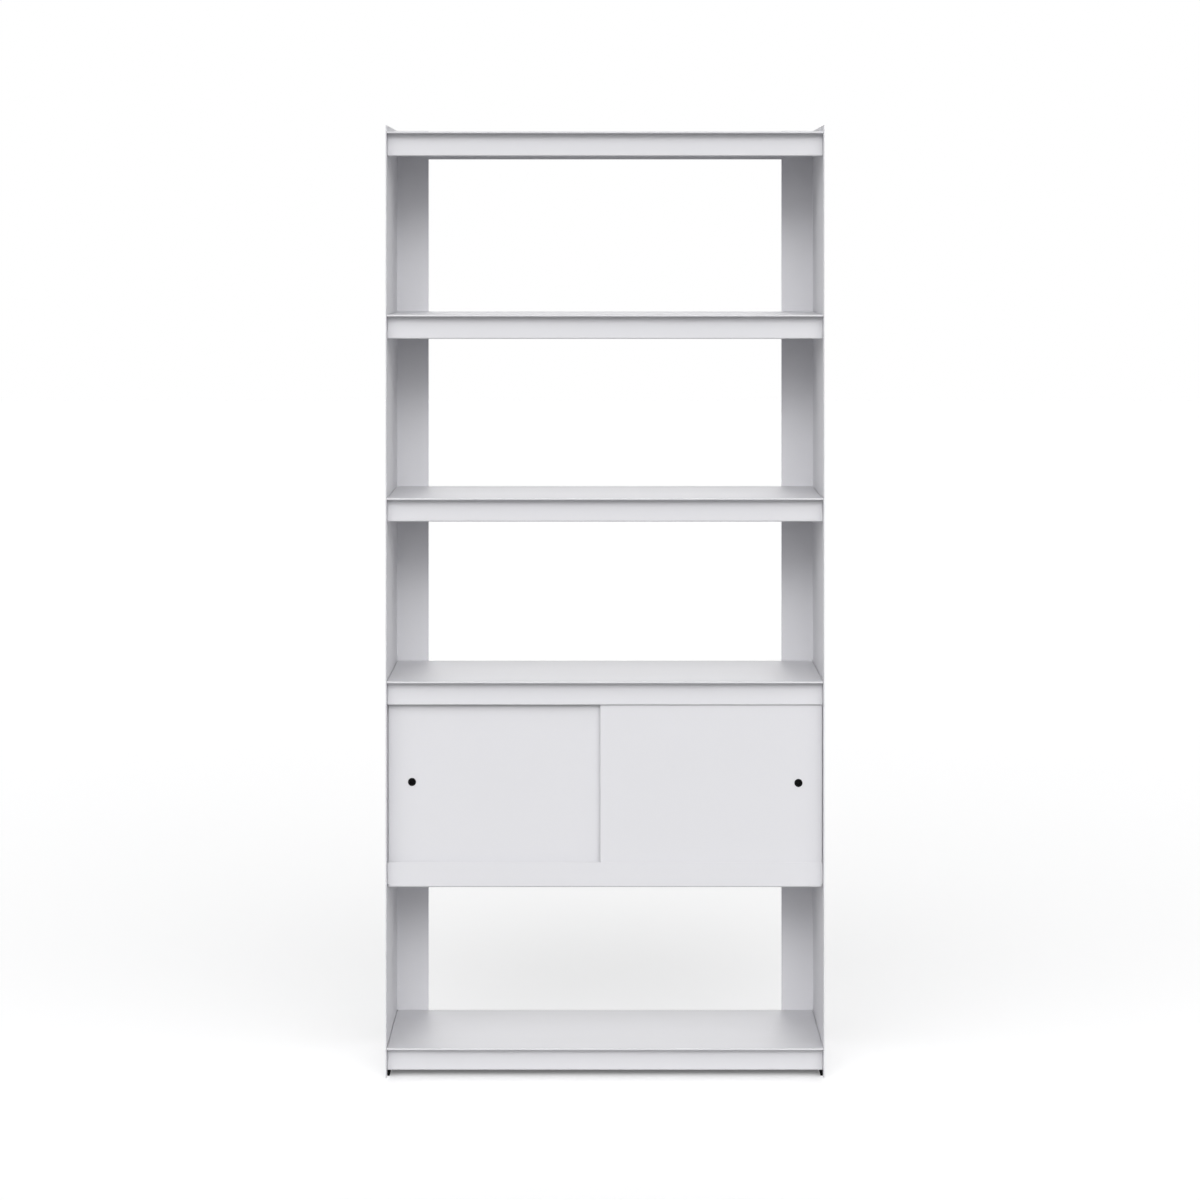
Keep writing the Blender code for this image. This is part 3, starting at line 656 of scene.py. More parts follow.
# %% [markdown]
# ## Shelves
#
# A shelf is the richest fold in the object. Its lip has a return at its foot, rises to the nose, turns
# forwards, and is folded back on itself as a hem with a small flat front, which catches the light as a
# thin bright line and leaves no raw edge for a hand to meet. The plate then runs to the rear and turns
# down into the rear lip. At both ends the plate turns down into a flange that the screws go through,
# with a relief cut at both its ends. All of this is one blank. In the mesh the two end flanges are
# patches of their own, because they fold the other way.

# %% Shelf sections
SHELF_SHEET = 0.0015
SHELF_BEND = 0.00225
HEM_BEND = 0.0008
HEM_FLAT = 0.0008
END_BEND = 0.0012
NOSE_DEPTH = 0.022
LIP_DROP = 0.050
LIP_RETURN = 0.012
REAR_LIP_DROP = 0.0485
LIP_FACE = FRONT + NOSE_DEPTH
REAR_LIP_FACE = edge("base_shelf", HIGH, Y)
HEM_Y = FRONT + SHELF_SHEET / 2 + HEM_BEND


def shelf_strip(has_front_return, has_rear_return):
    """Section of a shelf in (y, z) with the plate's top at zero, and the index of the plate's run."""
    half = SHELF_SHEET / 2
    lip, rear, low = LIP_FACE + half, REAR_LIP_FACE - half, half - LIP_DROP
    under_nose = -half - 2 * HEM_BEND - HEM_FLAT
    start, heading, runs = (lip, -LIP_DROP), 90, [under_nose - SHELF_BEND + LIP_DROP]
    if has_front_return:
        start, heading = (LIP_FACE + LIP_RETURN, low), 180
        runs = [LIP_RETURN - half - SHELF_BEND, (SHELF_BEND, -90), under_nose - low - 2 * SHELF_BEND]
    runs += [(SHELF_BEND, 90), lip - SHELF_BEND - HEM_Y, (HEM_BEND, -90), HEM_FLAT, (HEM_BEND, -90)]
    plate = len(runs)
    runs += [rear - SHELF_BEND - HEM_Y, (SHELF_BEND, -90)]
    if has_rear_return:
        runs += [-half - low - 2 * SHELF_BEND, (SHELF_BEND, -90), LIP_RETURN - half - SHELF_BEND]
    else:
        runs.append(REAR_LIP_DROP - half - SHELF_BEND)
    return bent_strip(start, heading, runs), plate


print(f"Shelf lip face at y {LIP_FACE:.4f}, rear lip face at y {REAR_LIP_FACE:.4f}")

# %% Shelf ends
SHELF_END = 0.4475
REAR_TAB_INSET = 0.0020
END_FLANGE_DROP = 0.044
END_FLANGE_FRONT = -0.120
END_FLANGE_REAR = 0.1607
FOLD_RELIEF = 0.0030
PAST_BLANK = 1.0


def plate_height(shelf):
    """Top of a shelf's plate, or the underside of the floor tray's."""
    return edge(shelf, LOW if shelf == "cabinet_floor_tray" else HIGH, Z)


def end_flange(shelf, side, turn):
    """Patch of an end flange: along the strip that turns down (or up) at the shelf's end, and along Y."""
    half = SHELF_SHEET / 2
    top = -half if turn < 0 else half
    straight = END_FLANGE_DROP - half - END_BEND
    strip = bent_strip((SHELF_END - half - END_BEND, top), 0, [(END_BEND, turn), straight])
    screw = f"{shelf}_{side}_end_screw"
    hole_y, hole_z = middle(screw, Y), middle(screw, Z) - plate_height(shelf)
    hole = strip[2][1] + abs(hole_z - top) - END_BEND
    points, faces = blank([strip[0], beside(hole, HOLE_MARGIN)],
                          [END_FLANGE_FRONT, END_FLANGE_REAR, beside(hole_y, HOLE_MARGIN)],
                          [(hole, hole_y, SCREW_HOLE)])
    x, z = on_strip(strip, points[:, 0])
    return np.stack([SIDES[side] * x, points[:, 1], z + plate_height(shelf)], axis=1), faces


def end_gaps(plate_start, plate_y):
    """Cut-outs at positive X: beside the end flange, and behind it, where the rear tab is shorter.

    A cut-out is (X from, X to, from, to along the strip). The distance along the strip is the plate's
    start plus how far a place lies behind that start in Y.
    """
    front = plate_start + END_FLANGE_FRONT - FOLD_RELIEF - plate_y
    rear = plate_start + END_FLANGE_REAR + FOLD_RELIEF - plate_y
    fold = SHELF_END - SHELF_SHEET / 2 - END_BEND
    return [(fold, PAST_BLANK, front, rear), (SHELF_END - REAR_TAB_INSET, PAST_BLANK, rear, PAST_BLANK)]


print(f"End flanges {1000 * END_FLANGE_DROP:.0f} mm deep")

# %% Fold a shelf
SHELF_EDGE_ROUND = 0.00035


def fold_shelf(shelf, strip, plate, plate_y, bend, turn, cut_outs=()):
    """Lays out a blank along X and along its section, and folds it with its two end flanges.

    The strip's run with the number plate is the plate, which starts at plate_y and ends in a bend. All
    cut-outs lie at positive X and are mirrored to negative X, and their edges become lines of the blank.
    """
    marks, height = strip[2], plate_height(shelf)
    gaps = np.array([*end_gaps(marks[plate], plate_y), *cut_outs])
    mirrored = gaps[:, [1, 0, 2, 3]] * (-1, -1, 1, 1)
    columns = np.clip(gaps[:, :2], 0, SHELF_END).ravel()
    rows = np.clip(gaps[:, 2:], 0, marks[-1]).ravel()
    around_screw = beside(middle(f"{shelf}_left_end_screw", Y), HOLE_MARGIN)
    flange_y = [END_FLANGE_FRONT, END_FLANGE_REAR, *around_screw]
    rise = abs(middle(f"{shelf}_left_rear_screw", Z) - height)
    hole_v = marks[plate + 2] + rise - SHELF_SHEET / 2 - bend
    u_lines = [columns, -columns, beside(REAR_SCREW_X, HOLE_MARGIN)]
    v_lines = [strip[0], rows, marks[plate] + np.array(flange_y) - plate_y, beside(hole_v, HOLE_MARGIN)]
    holes = [(x, hole_v, SCREW_HOLE) for x in REAR_SCREW_X]
    points, faces = blank(u_lines, v_lines, holes, [*gaps, *mirrored])
    y, z = on_strip(strip, points[:, 1])
    folded = np.stack([points[:, 0], y, z + height], axis=1)
    flanges = [end_flange(shelf, side, turn) for side in SIDES]
    add_sheet(shelf, [(folded, faces), *flanges], SHELF_SHEET, SHELF_EDGE_ROUND)


print(f"Shelf sheet {1000 * SHELF_SHEET:.1f} mm, cut edges rounded by {1000 * SHELF_EDGE_ROUND:.2f} mm")

# %% Shelves
STEM_SLOT = 0.0016
GLIDE_STEM_INSET = 0.0033
WEB_INSIDE = OUTSIDE - PANEL_SHEET


def stem_slots(total):
    """Open slots in the base shelf's two returns, for the stems of the glides."""
    start = WEB_INSIDE - GLIDE_STEM_INSET - STEM_SLOT
    return [(start, PAST_BLANK, centre - STEM_SLOT, centre + STEM_SLOT)
            for centre in (LIP_RETURN / 2, total - LIP_RETURN / 2)]


def add_shelf(shelf):
    """A shelf with the returns and slots that it has at its place in the bookcase."""
    is_base = shelf == "base_shelf"
    strip, plate = shelf_strip(shelf != "cabinet_top_shelf", is_base)
    slots = stem_slots(strip[2][-1]) if is_base else ()
    fold_shelf(shelf, strip, plate, HEM_Y, SHELF_BEND, -90, slots)


for shelf_name in SHELVES:
    if shelf_name != "cabinet_floor_tray":
        add_shelf(shelf_name)

# %% [markdown]
# ## Cabinet floor
#
# The cabinet's floor is the same idea turned upside down: a tray whose lips stand up, so that the front
# lip hides the lower track. Its folds are a little wider, which gives the soft lower edge under the
# doors, and its two front corners are notched.

# %% Cabinet floor tray
TRAY = "cabinet_floor_tray"
TRAY_BEND = 0.00325
TRAY_LIP = 0.0515
TRAY_REAR_LIP = 0.046
TRAY_NOTCH = 0.0065
TRAY_NOTCH_WIDTH = 0.0035


def add_floor_tray():
    """Lip, bend, plate, bend and rear lip, with notches where the front fold meets the ends."""
    half = SHELF_SHEET / 2
    lip, rear = LIP_FACE + half, REAR_LIP_FACE - half
    strip = bent_strip((lip, TRAY_LIP), -90, [TRAY_LIP - half - TRAY_BEND, (TRAY_BEND, 90),
                                              rear - lip - 2 * TRAY_BEND, (TRAY_BEND, 90),
                                              TRAY_REAR_LIP - half - TRAY_BEND])
    plate = 2
    notch = (SHELF_END - TRAY_NOTCH_WIDTH, PAST_BLANK, TRAY_LIP - TRAY_NOTCH, strip[2][plate] + TRAY_NOTCH)
    fold_shelf(TRAY, strip, plate, lip + TRAY_BEND, TRAY_BEND, 90, [notch])


add_floor_tray()

# %% [markdown]
# ## Cabinet back
#
# A thin sheet closes the cabinet behind the doors. It is folded forwards along its top and bottom, which
# keeps it flat, and the rear screws of the two shelves beside it go through it too.

# %% Cabinet back panel
BACK_PANEL = "cabinet_back_panel"
BACK_SHEET = 0.0010
BACK_BEND = 0.0020
BACK_EDGE_ROUND = 0.00025


def add_back_panel():
    """A strip that runs back, turns up, runs up the cabinet, turns, and runs forwards again."""
    half = BACK_SHEET / 2
    low, high = edge(BACK_PANEL, LOW, Z) + half, edge(BACK_PANEL, HIGH, Z) - half
    start, rear = edge(BACK_PANEL, LOW, Y), edge(BACK_PANEL, HIGH, Y) - half
    depth = rear - BACK_BEND - start
    strip = bent_strip((start, low), 0, [depth, (BACK_BEND, 90), high - low - 2 * BACK_BEND,
                                         (BACK_BEND, 90), depth])
    end = edge(BACK_PANEL, HIGH, X)
    heights = [middle(f"{shelf}_left_rear_screw", Z) for shelf in (TRAY, "cabinet_top_shelf")]
    rows = strip[2][2] + np.array(heights) - low - BACK_BEND
    holes = [(x, row, SCREW_HOLE) for x in REAR_SCREW_X for row in rows]
    points, faces = blank([[-end, end], beside(REAR_SCREW_X, HOLE_MARGIN)],
                          [strip[0], beside(rows, HOLE_MARGIN)], holes)
    y, z = on_strip(strip, points[:, 1])
    add_sheet(BACK_PANEL, [(np.stack([points[:, 0], y, z], axis=1), faces)], BACK_SHEET, BACK_EDGE_ROUND)


add_back_panel()

# %% [markdown]
# ## Sliding doors
#
# A door is a pan: a flat face with four walls turned back. A press folds each wall with the same small
# radius and the corners are closed and ground round. That is a rounded box without its back, so the
# blank is laid on a plain box and every point is then pulled in to the rounded one by one formula.

# %% Rounded pan
DOOR_SHEET = 0.0012
DOOR_BEND = 0.0007
DOOR_EDGE_ROUND = 0.00030
DOOR_EDGE_STEPS = 6


def rounded_pan(points, low, high):
    """Moves points of a plain box onto the rounded one.

    Each point is first held inside the box that is smaller by the bend's radius. The rounded point lies
    a radius from there, towards the point that it came from. The back is open, so nothing is held there.
    """
    inner_low, inner_high = np.array(low) + DOOR_BEND, np.array(high) - DOOR_BEND
    inner_high[Y] = np.inf
    core = np.clip(points, inner_low, inner_high)
    away = points - core
    return core + DOOR_BEND * away / np.linalg.norm(away, axis=1, keepdims=True)


def edge_lines(start, inwards):
    """Lines beside an edge of the box that are evenly spaced in angle once the edge is round."""
    turn = np.linspace(0, pi / 4, DOOR_EDGE_STEPS + 1)
    return start + inwards * DOOR_BEND * (1 - np.tan(turn))


print(f"A door's edges turn in {2 * DOOR_EDGE_STEPS} steps")

# %% Doors
PULL_HOLE = 0.0068
PEG_HOLE = 0.0028


def add_door(side):
    """Front and four walls of a door's middle surface, with holes for its pull, shoes and guides."""
    node = side + "_door"
    half = DOOR_SHEET / 2
    face, open_edge = edge(node, LOW, Y), edge(node, HIGH, Y)
    low = (edge(node, LOW, X) + half, face + half, edge(node, LOW, Z) + half)
    high = (edge(node, HIGH, X) - half, open_edge, edge(node, HIGH, Z) - half)
    pull = (middle(node + "_pull", X), middle(node + "_pull", Z))
    pegs = [middle(f"{node}_bottom_shoe_{end}", X) for end in ("outer", "inner")]
    peg_y = (face + open_edge) / 2
    peg_margin = peg_y - low[Y] - DOOR_BEND
    x_lines = [edge_lines(low[X], 1), edge_lines(high[X], -1), beside(pull[0], HOLE_MARGIN),
               beside(pegs, peg_margin)]
    y_lines = [edge_lines(low[Y], 1), beside(peg_y, peg_margin), open_edge]
    z_lines = [edge_lines(low[Z], 1), edge_lines(high[Z], -1), beside(pull[1], HOLE_MARGIN)]
    patches = []

    def lay(order, constant, blank_piece):
        """Places a blank's two parameters on two axes, and a constant on the third."""
        flat, faces = blank_piece
        columns = np.insert(flat, order, constant, axis=1)
        patches.append((rounded_pan(columns, low, high), faces))

    lay(Y, low[Y], blank(x_lines, z_lines, [(*pull, PULL_HOLE)]))
    for corner in (low, high):
        lay(X, corner[X], blank(y_lines, z_lines))
        lay(Z, corner[Z], blank(x_lines, y_lines, [(x, peg_y, PEG_HOLE) for x in pegs]))
    add_sheet(node, patches, DOOR_SHEET, DOOR_EDGE_ROUND)


for side_name in SIDES:
    add_door(side_name)

# %% [markdown]
# ## Rounded outlines and turned pieces
#
# The small pieces are moulded, extruded or turned. Their outlines are a few corners with a radius each,
# which one function rounds. A moulding's small corners are either crisp or mild. An outline is then
# either carried along a line or turned about an axis.

# %% Round the corners of an outline
CORNER_STEPS = 6
CRISP = 0.0001
MILD = 0.0002


def rounded(corners, radii, closed=True):
    """Replaces each corner of an outline by an arc.

    The arc's centre lies on the line that halves the corner, at radius over the sine of half the corner.
    Its points are the mix of the arms to both touching points that keeps the radius. A corner with no
    radius stays one point, as do the ends of an open outline.
    """
    corners = np.array(corners, float)
    radii = np.broadcast_to(np.array(radii, float), len(corners)).copy()
    if not closed:
        radii[[0, -1]] = 0
    before, after = np.roll(corners, 1, axis=0) - corners, np.roll(corners, -1, axis=0) - corners
    before /= np.linalg.norm(before, axis=1, keepdims=True)
    after /= np.linalg.norm(after, axis=1, keepdims=True)
    half = np.arccos(np.clip((before * after).sum(axis=1), -1, 1))[:, None] / 2
    bisector = before + after
    bisector /= np.linalg.norm(bisector, axis=1, keepdims=True)
    centres = corners + bisector * radii[:, None] / np.sin(half)
    touch = radii[:, None] / np.tan(half)
    first, last = corners + before * touch - centres, corners + after * touch - centres
    sweep = (pi - 2 * half)[:, None]
    share = np.linspace(0, 1, CORNER_STEPS + 1)[None, :, None]
    mix = (np.sin((1 - share) * sweep) * first[:, None] + np.sin(share * sweep) * last[:, None])
    points = (centres[:, None] + mix / np.sin(sweep)).reshape(-1, 2)
    moved = np.linalg.norm(points - np.roll(points, 1, axis=0), axis=1) > WELD_DISTANCE
    moved[0] = True
    return points[moved]


print(f"A rounded corner has {CORNER_STEPS} steps")

# %% Extrude and turn
TURN_STEPS = 48


def ring_faces(rings, steps):
    """Quads between rings of points, each ring closed on itself."""
    number = np.arange(rings * steps).reshape(rings, steps)
    after = np.roll(number, -1, axis=1)
    return np.stack([number[:-1], after[:-1], after[1:], number[1:]], axis=-1).reshape(-1, 4)


def extruded(outline, axis, start, end):
    """Patch of an outline carried along an axis from start to end, and closed by a face at each end."""
    count = len(outline)
    both = np.concatenate([np.insert(outline, axis, place, axis=1) for place in (start, end)])
    caps = np.arange(2 * count).reshape(2, count)
    return both, [ring_faces(2, count), caps]


def turned(profile, hexagon=None):
    """Patch of a (radius, height) profile turned about Z: radius times cosine and sine of the turn.

    Rows whose mask in hexagon is true lie on a hexagon: their radius is its apothem over the cosine of
    the angle to the nearest side's middle.
    """
    turn = 2 * pi * np.arange(TURN_STEPS) / TURN_STEPS
    radius = np.repeat(profile[:, :1], TURN_STEPS, axis=1)
    if hexagon is not None:
        to_side = (turn + pi / 6) % (pi / 3) - pi / 6
        radius = np.where(hexagon[:, None], radius / np.cos(to_side), radius)
    height = np.repeat(profile[:, 1:], TURN_STEPS, axis=1)
    points = np.stack([radius * np.cos(turn), radius * np.sin(turn), height], axis=-1).reshape(-1, 3)
    return points, [ring_faces(len(profile), TURN_STEPS)]


print(f"A turned piece has {TURN_STEPS} steps around")

# %% [markdown]
# ## Finger pulls
#
# A pull is a round cup that is pressed into the door until a bead snaps in behind the sheet. It is a
# profile turned about its axis: the cup's floor and wall, a low rim with a soft edge, the neck that
# sits in the hole, and the bead.

# %% Pulls
PULL_RIM = 0.0083
PULL_RIM_HEIGHT = 0.0008
PULL_CUP = 0.0065
PULL_WALL = 0.0012
PULL_BEAD = 0.0006
PULL_FLOOR_ROUND = 0.0018
PULL_SOFT = 0.00022
SEAT_GAP = 0.0003


def add_pull(side):
    """Turns the pull's profile, closed on the axis at both ends, and lays its axis along -Y."""
    node = side + "_door_pull"
    face = edge(side + "_door", LOW, Y)
    depth = edge(node, HIGH, Y) - face
    bore = PULL_CUP - PULL_WALL
    seat, behind = SEAT_GAP, -DOOR_SHEET - SEAT_GAP
    top = seat + PULL_RIM_HEIGHT
    corners = [(0, PULL_WALL - depth), (bore, PULL_WALL - depth), (bore, top), (PULL_RIM, top),
               (PULL_RIM, seat), (PULL_CUP, seat), (PULL_CUP, behind), (PULL_CUP + PULL_BEAD, behind),
               (PULL_CUP + PULL_BEAD, behind - PULL_BEAD), (PULL_CUP, behind - 2 * PULL_BEAD),
               (PULL_CUP, -depth), (0, -depth)]
    radii = [0, PULL_FLOOR_ROUND, PULL_SOFT, PULL_SOFT, *[CRISP] * 3, *[MILD] * 2, CRISP, PULL_SOFT, 0]
    points, faces = turned(rounded(corners, radii, closed=False))
    placed = np.stack([points[:, 0] + middle(node, X), face - points[:, 2],
                       points[:, 1] + middle(node, Z)], axis=1)
    piece = add_piece(node, skin(node, [(placed, faces)]), "black_plastic")
    piece.modifiers.new("shading", "WEIGHTED_NORMAL")
    print(f"{node}: cup {2 * bore * 1000:.1f} mm wide and {depth * 1000:.1f} mm deep")


for side_name in SIDES:
    add_pull(side_name)

# %% [markdown]
# ## Door tracks
#
# Each track is one extrusion with two slots, one for each door. Its three legs have round tips. The
# lower track stands on the tray, where a shoe runs on its short legs' web. The upper one hangs under
# the shelf above, and its longer legs hold a door upright although the door stops well short of it.

# %% Tracks
TRACK_LEG = 0.0015
TRACK_SLOT = 0.0110
TRACK_WEB = 0.0020
TRACK_TIP_ROUND = 0.00045
TRACK_ROOT_ROUND = 0.0003
TRACK_EDGE_ROUND = 0.0002


def add_track(node, upside_down):
    """Outline of the web and three legs in (y, z), carried along X."""
    front = edge(node, LOW, Y)
    length = edge(node, HIGH, Z) - edge(node, LOW, Z)
    pitch = TRACK_SLOT + TRACK_LEG
    corners, radii = [(front, 0), (front, length)], [TRACK_ROOT_ROUND, TRACK_TIP_ROUND]
    for slot in range(2):
        near = front + TRACK_LEG + slot * pitch
        far = near + TRACK_SLOT
        corners += [(near, length), (near, TRACK_WEB), (far, TRACK_WEB), (far, length)]
        radii += [TRACK_TIP_ROUND, TRACK_ROOT_ROUND, TRACK_ROOT_ROUND, TRACK_TIP_ROUND]
    rear = edge(node, HIGH, Y)
    corners += [(rear, length), (rear, 0)]
    radii += [TRACK_TIP_ROUND, TRACK_ROOT_ROUND]
    outline = rounded(corners, radii)
    base = edge(node, HIGH, Z) if upside_down else edge(node, LOW, Z)
    outline[:, 1] = base + (-outline[:, 1] if upside_down else outline[:, 1])
    patch = extruded(outline, X, edge(node, LOW, X), edge(node, HIGH, X))
    piece = add_piece(node, skin(node, [patch]), "track_plastic")
    soften(piece, TRACK_EDGE_ROUND)
    print(f"{node}: legs {1000 * (length - TRACK_WEB):.0f} mm long")


add_track("lower_door_track", False)
add_track("upper_door_track", True)

# %% [markdown]
# ## Shoes, guides and glides
#
# A door stands on two shoes and is steadied by two guides, small blocks with tapered ends whose pegs
# snap through the door's walls. The floor glides are narrow blocks with a rounded inner edge, each with
# a stem into the base shelf. Block and peg are two closed shapes that a Boolean union makes into one,
# because a moulding has no face inside it.

# %% Peg
PEG_RADIUS = 0.0025
PEG_HEAD = 0.0035
PEG_HEAD_HEIGHT = 0.0015
PEG_SOFT = 0.0003


def peg_patch(radius, head, head_height, sheet, inside):
    """Peg about Z that starts inside its block, passes a sheet on z = 0 and ends in a tapered head."""
    neck = sheet + 2 * SEAT_GAP
    top = neck + head_height
    corners = [(0, -inside), (radius, -inside), (radius, neck), (head, neck),
               (head, neck + head_height / 2), (radius, top), (0, top)]
    return turned(rounded(corners, [0, 0, CRISP, MILD, PEG_SOFT, PEG_SOFT, 0], closed=False))


print(f"Pegs {2000 * PEG_RADIUS:.0f} mm thick with heads of {2000 * PEG_HEAD:.0f} mm")

# %% Unite a block and its peg


def united(name, patch, peg):
    """One mesh from a block and its peg, joined by an exact union of two closed shapes."""
    block = bpy.data.objects.new(name, skin(name, [patch]))
    helper = bpy.data.objects.new(name + "_peg", skin(name + "_peg", [peg]))
    for item in (block, helper):
        bpy.context.scene.collection.objects.link(item)
    union = block.modifiers.new("peg", "BOOLEAN")
    union.operation = "UNION"
    union.solver = "EXACT"
    union.object = helper
    graph = bpy.context.evaluated_depsgraph_get()
    mesh = bpy.data.meshes.new_from_object(block.evaluated_get(graph))
    for item in (block, helper):
        bpy.data.objects.remove(item, do_unlink=True)
    return mesh


def place_mesh(mesh, up, place):
    """Moves a mesh to its place. With up at -1 it is first turned over about X: y and z change sign."""
    points = np.empty(len(mesh.vertices) * 3, np.float32)
    mesh.vertices.foreach_get("co", points)
    points = points.reshape(-1, 3) * (1, up, up) + place
    mesh.vertices.foreach_set("co", points.astype(np.float32).ravel())
    mesh.shade_smooth()
    mesh.update()


print("A block and its peg become one closed moulding")

# %% Shoes and guides
SHOE_CHAMFER = 0.0020
SHOE_SOFT = 0.0005
SHOE_HEIGHT = 0.0044
SHOE_EDGE_ROUND = 0.0003


def add_shoe(node, hangs):
    """Block with tapered ends under a door's wall, or turned over above it, with its peg."""
    x, y = middle(node, X), middle(node, Y)
    half_length, half_width = edge(node, HIGH, X) - x, edge(node, HIGH, Y) - y
    cut_length, cut_width = half_length - SHOE_CHAMFER, half_width - SHOE_CHAMFER
    near = np.array([(-half_length, -cut_width), (-cut_length, -half_width), (cut_length, -half_width),
                     (half_length, -cut_width)])
    outline = rounded(np.concatenate([near, -near]), SHOE_SOFT)
    peg = peg_patch(PEG_RADIUS, PEG_HEAD, PEG_HEAD_HEIGHT, DOOR_SHEET, SHOE_HEIGHT / 2)
    mesh = united(node, extruded(outline, Z, -SHOE_HEIGHT, 0), peg)
    seat = edge(node, LOW, Z) + SHOE_HEIGHT if hangs else edge(node, HIGH, Z) - SHOE_HEIGHT
    place_mesh(mesh, 1 if hangs else -1, (x, y, seat))
    soften(add_piece(node, mesh, "black_plastic"), SHOE_EDGE_ROUND)


for side_name in SIDES:
    for end_name in ("outer", "inner"):
        add_shoe(f"{side_name}_door_bottom_shoe_{end_name}", True)
        add_shoe(f"{side_name}_door_top_guide_{end_name}", False)
print("Eight shoes and guides, each one moulding with its peg")

# %% Floor glides
GLIDE_TOP = 0.0117
GLIDE_CURVE = (0.0020, 0.0040)
GLIDE_STEM = 0.0013
GLIDE_STEM_HEAD = 0.0024
GLIDE_STEM_HEAD_HEIGHT = 0.0015
GLIDE_EDGE_ROUND = 0.00025
GLIDE_CURVE_STEPS = 10


def add_glide(end, side):
    """Block along Y whose lower inner edge is a quarter of an ellipse, with a stem on its top."""
    node = f"floor_glide_{end}_{side}"
    inner, outer = sorted(abs(edge(node, which, X)) for which in (LOW, HIGH))
    turn = np.linspace(0, pi / 2, GLIDE_CURVE_STEPS + 1)
    curve = np.stack([inner + GLIDE_CURVE[0] * (1 - np.cos(turn)), GLIDE_CURVE[1] * (1 - np.sin(turn))],
                     axis=1)
    square = np.array([(outer, 0), (outer, GLIDE_TOP), (inner, GLIDE_TOP)])
    outline = np.concatenate([square, curve])
    stem_x = SIDES[side] * (WEB_INSIDE - GLIDE_STEM_INSET)
    stem_y = LIP_FACE + LIP_RETURN / 2 if end == "front" else REAR_LIP_FACE - LIP_RETURN / 2
    outline = outline * (SIDES[side], 1) - (stem_x, GLIDE_TOP)
    patch = extruded(outline, Y, edge(node, LOW, Y) - stem_y, edge(node, HIGH, Y) - stem_y)
    stem = peg_patch(GLIDE_STEM, GLIDE_STEM_HEAD, GLIDE_STEM_HEAD_HEIGHT, SHELF_SHEET, GLIDE_TOP / 2)
    mesh = united(node, patch, stem)
    place_mesh(mesh, 1, (stem_x, stem_y, GLIDE_TOP))
    soften(add_piece(node, mesh, "black_plastic"), GLIDE_EDGE_ROUND)


for side_name in SIDES:
    for end_name in ("front", "rear"):
        add_glide(end_name, side_name)
print("Four floor glides beside the panels' feet")

# %% [markdown]
# ## Screws
#
# The screws have a flanged dome head with a hexagonal socket, and a thread. A thread is a small wave in
# the shank's radius whose phase is the height less one pitch for each turn. With the shank as a grid of
# angle and height, that is one line of numpy and a real thread, where a bump map would leave a bare
# cylinder's outline.

# %% Screw mesh
SCREW_RADIUS = 0.0030
SCREW_HEAD_RADIUS = 0.0060
SCREW_HEAD_HEIGHT = 0.0032
SCREW_FLANGE = 0.0010
SCREW_FLANGE_ROUND = 0.0003
SCREW_DOME = 0.0042
SCREW_DOME_ROUND = 0.0007
SOCKET_APOTHEM = 0.0020
SOCKET_DEPTH = 0.0020
SOCKET_BEVEL = 0.0003
TIP_BEVEL = 0.0003
TIP_TAPER = 0.15
THREAD_PITCH = 0.0010
THREAD_DEPTH = 0.0004
THREAD_ROWS = 12


def screw_patch(grip):
    """Screw about Z with its head's seat at zero: profile, hexagonal socket and threaded shank.

    The shank loses the thread's depth times (1 - cosine) / 2 of a phase: a full turn for each pitch of
    height, less the angle about Z. The wave fades within half a pitch of both ends, and the tip tapers.
    """
    head = SCREW_HEAD_HEIGHT
    corners = [(SCREW_RADIUS, 0), (SCREW_HEAD_RADIUS, 0), (SCREW_HEAD_RADIUS, SCREW_FLANGE),
               (SCREW_HEAD_RADIUS - SCREW_FLANGE, SCREW_FLANGE), (SCREW_DOME, head),
               (SOCKET_APOTHEM + 2 * SOCKET_BEVEL, head)]
    flange = [SCREW_FLANGE_ROUND] * 3
    crown = rounded(corners, [0, *flange, SCREW_DOME_ROUND, 0], closed=False)
    socket = np.array([(SOCKET_APOTHEM, head - SOCKET_BEVEL), (SOCKET_APOTHEM, head - SOCKET_DEPTH),
                       (0, head - SOCKET_DEPTH - SOCKET_BEVEL)])
    rows = int(THREAD_ROWS * grip / THREAD_PITCH)
    shank = np.stack([np.full(rows, SCREW_RADIUS), np.linspace(-grip, 0, rows)], axis=1)
    tip = np.array([(0, -grip)])
    profile = np.concatenate([tip, shank, crown[1:], socket])
    hexagon = np.arange(len(profile)) >= len(profile) - len(socket)
    points, faces = turned(profile, hexagon)
    angle, height = np.arctan2(points[:, 1], points[:, 0]), points[:, 2]
    on_shank = (height < 0) & (np.hypot(points[:, 0], points[:, 1]) > SCREW_RADIUS / 2)
    wave = 0.5 - 0.5 * np.cos(2 * pi * height / THREAD_PITCH - angle)
    fade = np.clip(np.minimum(-height, height + grip) / (THREAD_PITCH / 2), 0, 1)
    cut = 1 - np.where(on_shank, THREAD_DEPTH / SCREW_RADIUS * wave * fade, 0)
    taper = 1 - np.where(on_shank, TIP_TAPER * np.clip(1 - (height + grip) / TIP_BEVEL, 0, 1), 0)
    points[:, :2] *= (cut * taper)[:, None]
    return points, faces


print(f"Screw heads {2000 * SCREW_HEAD_RADIUS:.0f} mm across, key size {2000 * SOCKET_APOTHEM:.0f} mm")

# %% Place the screws


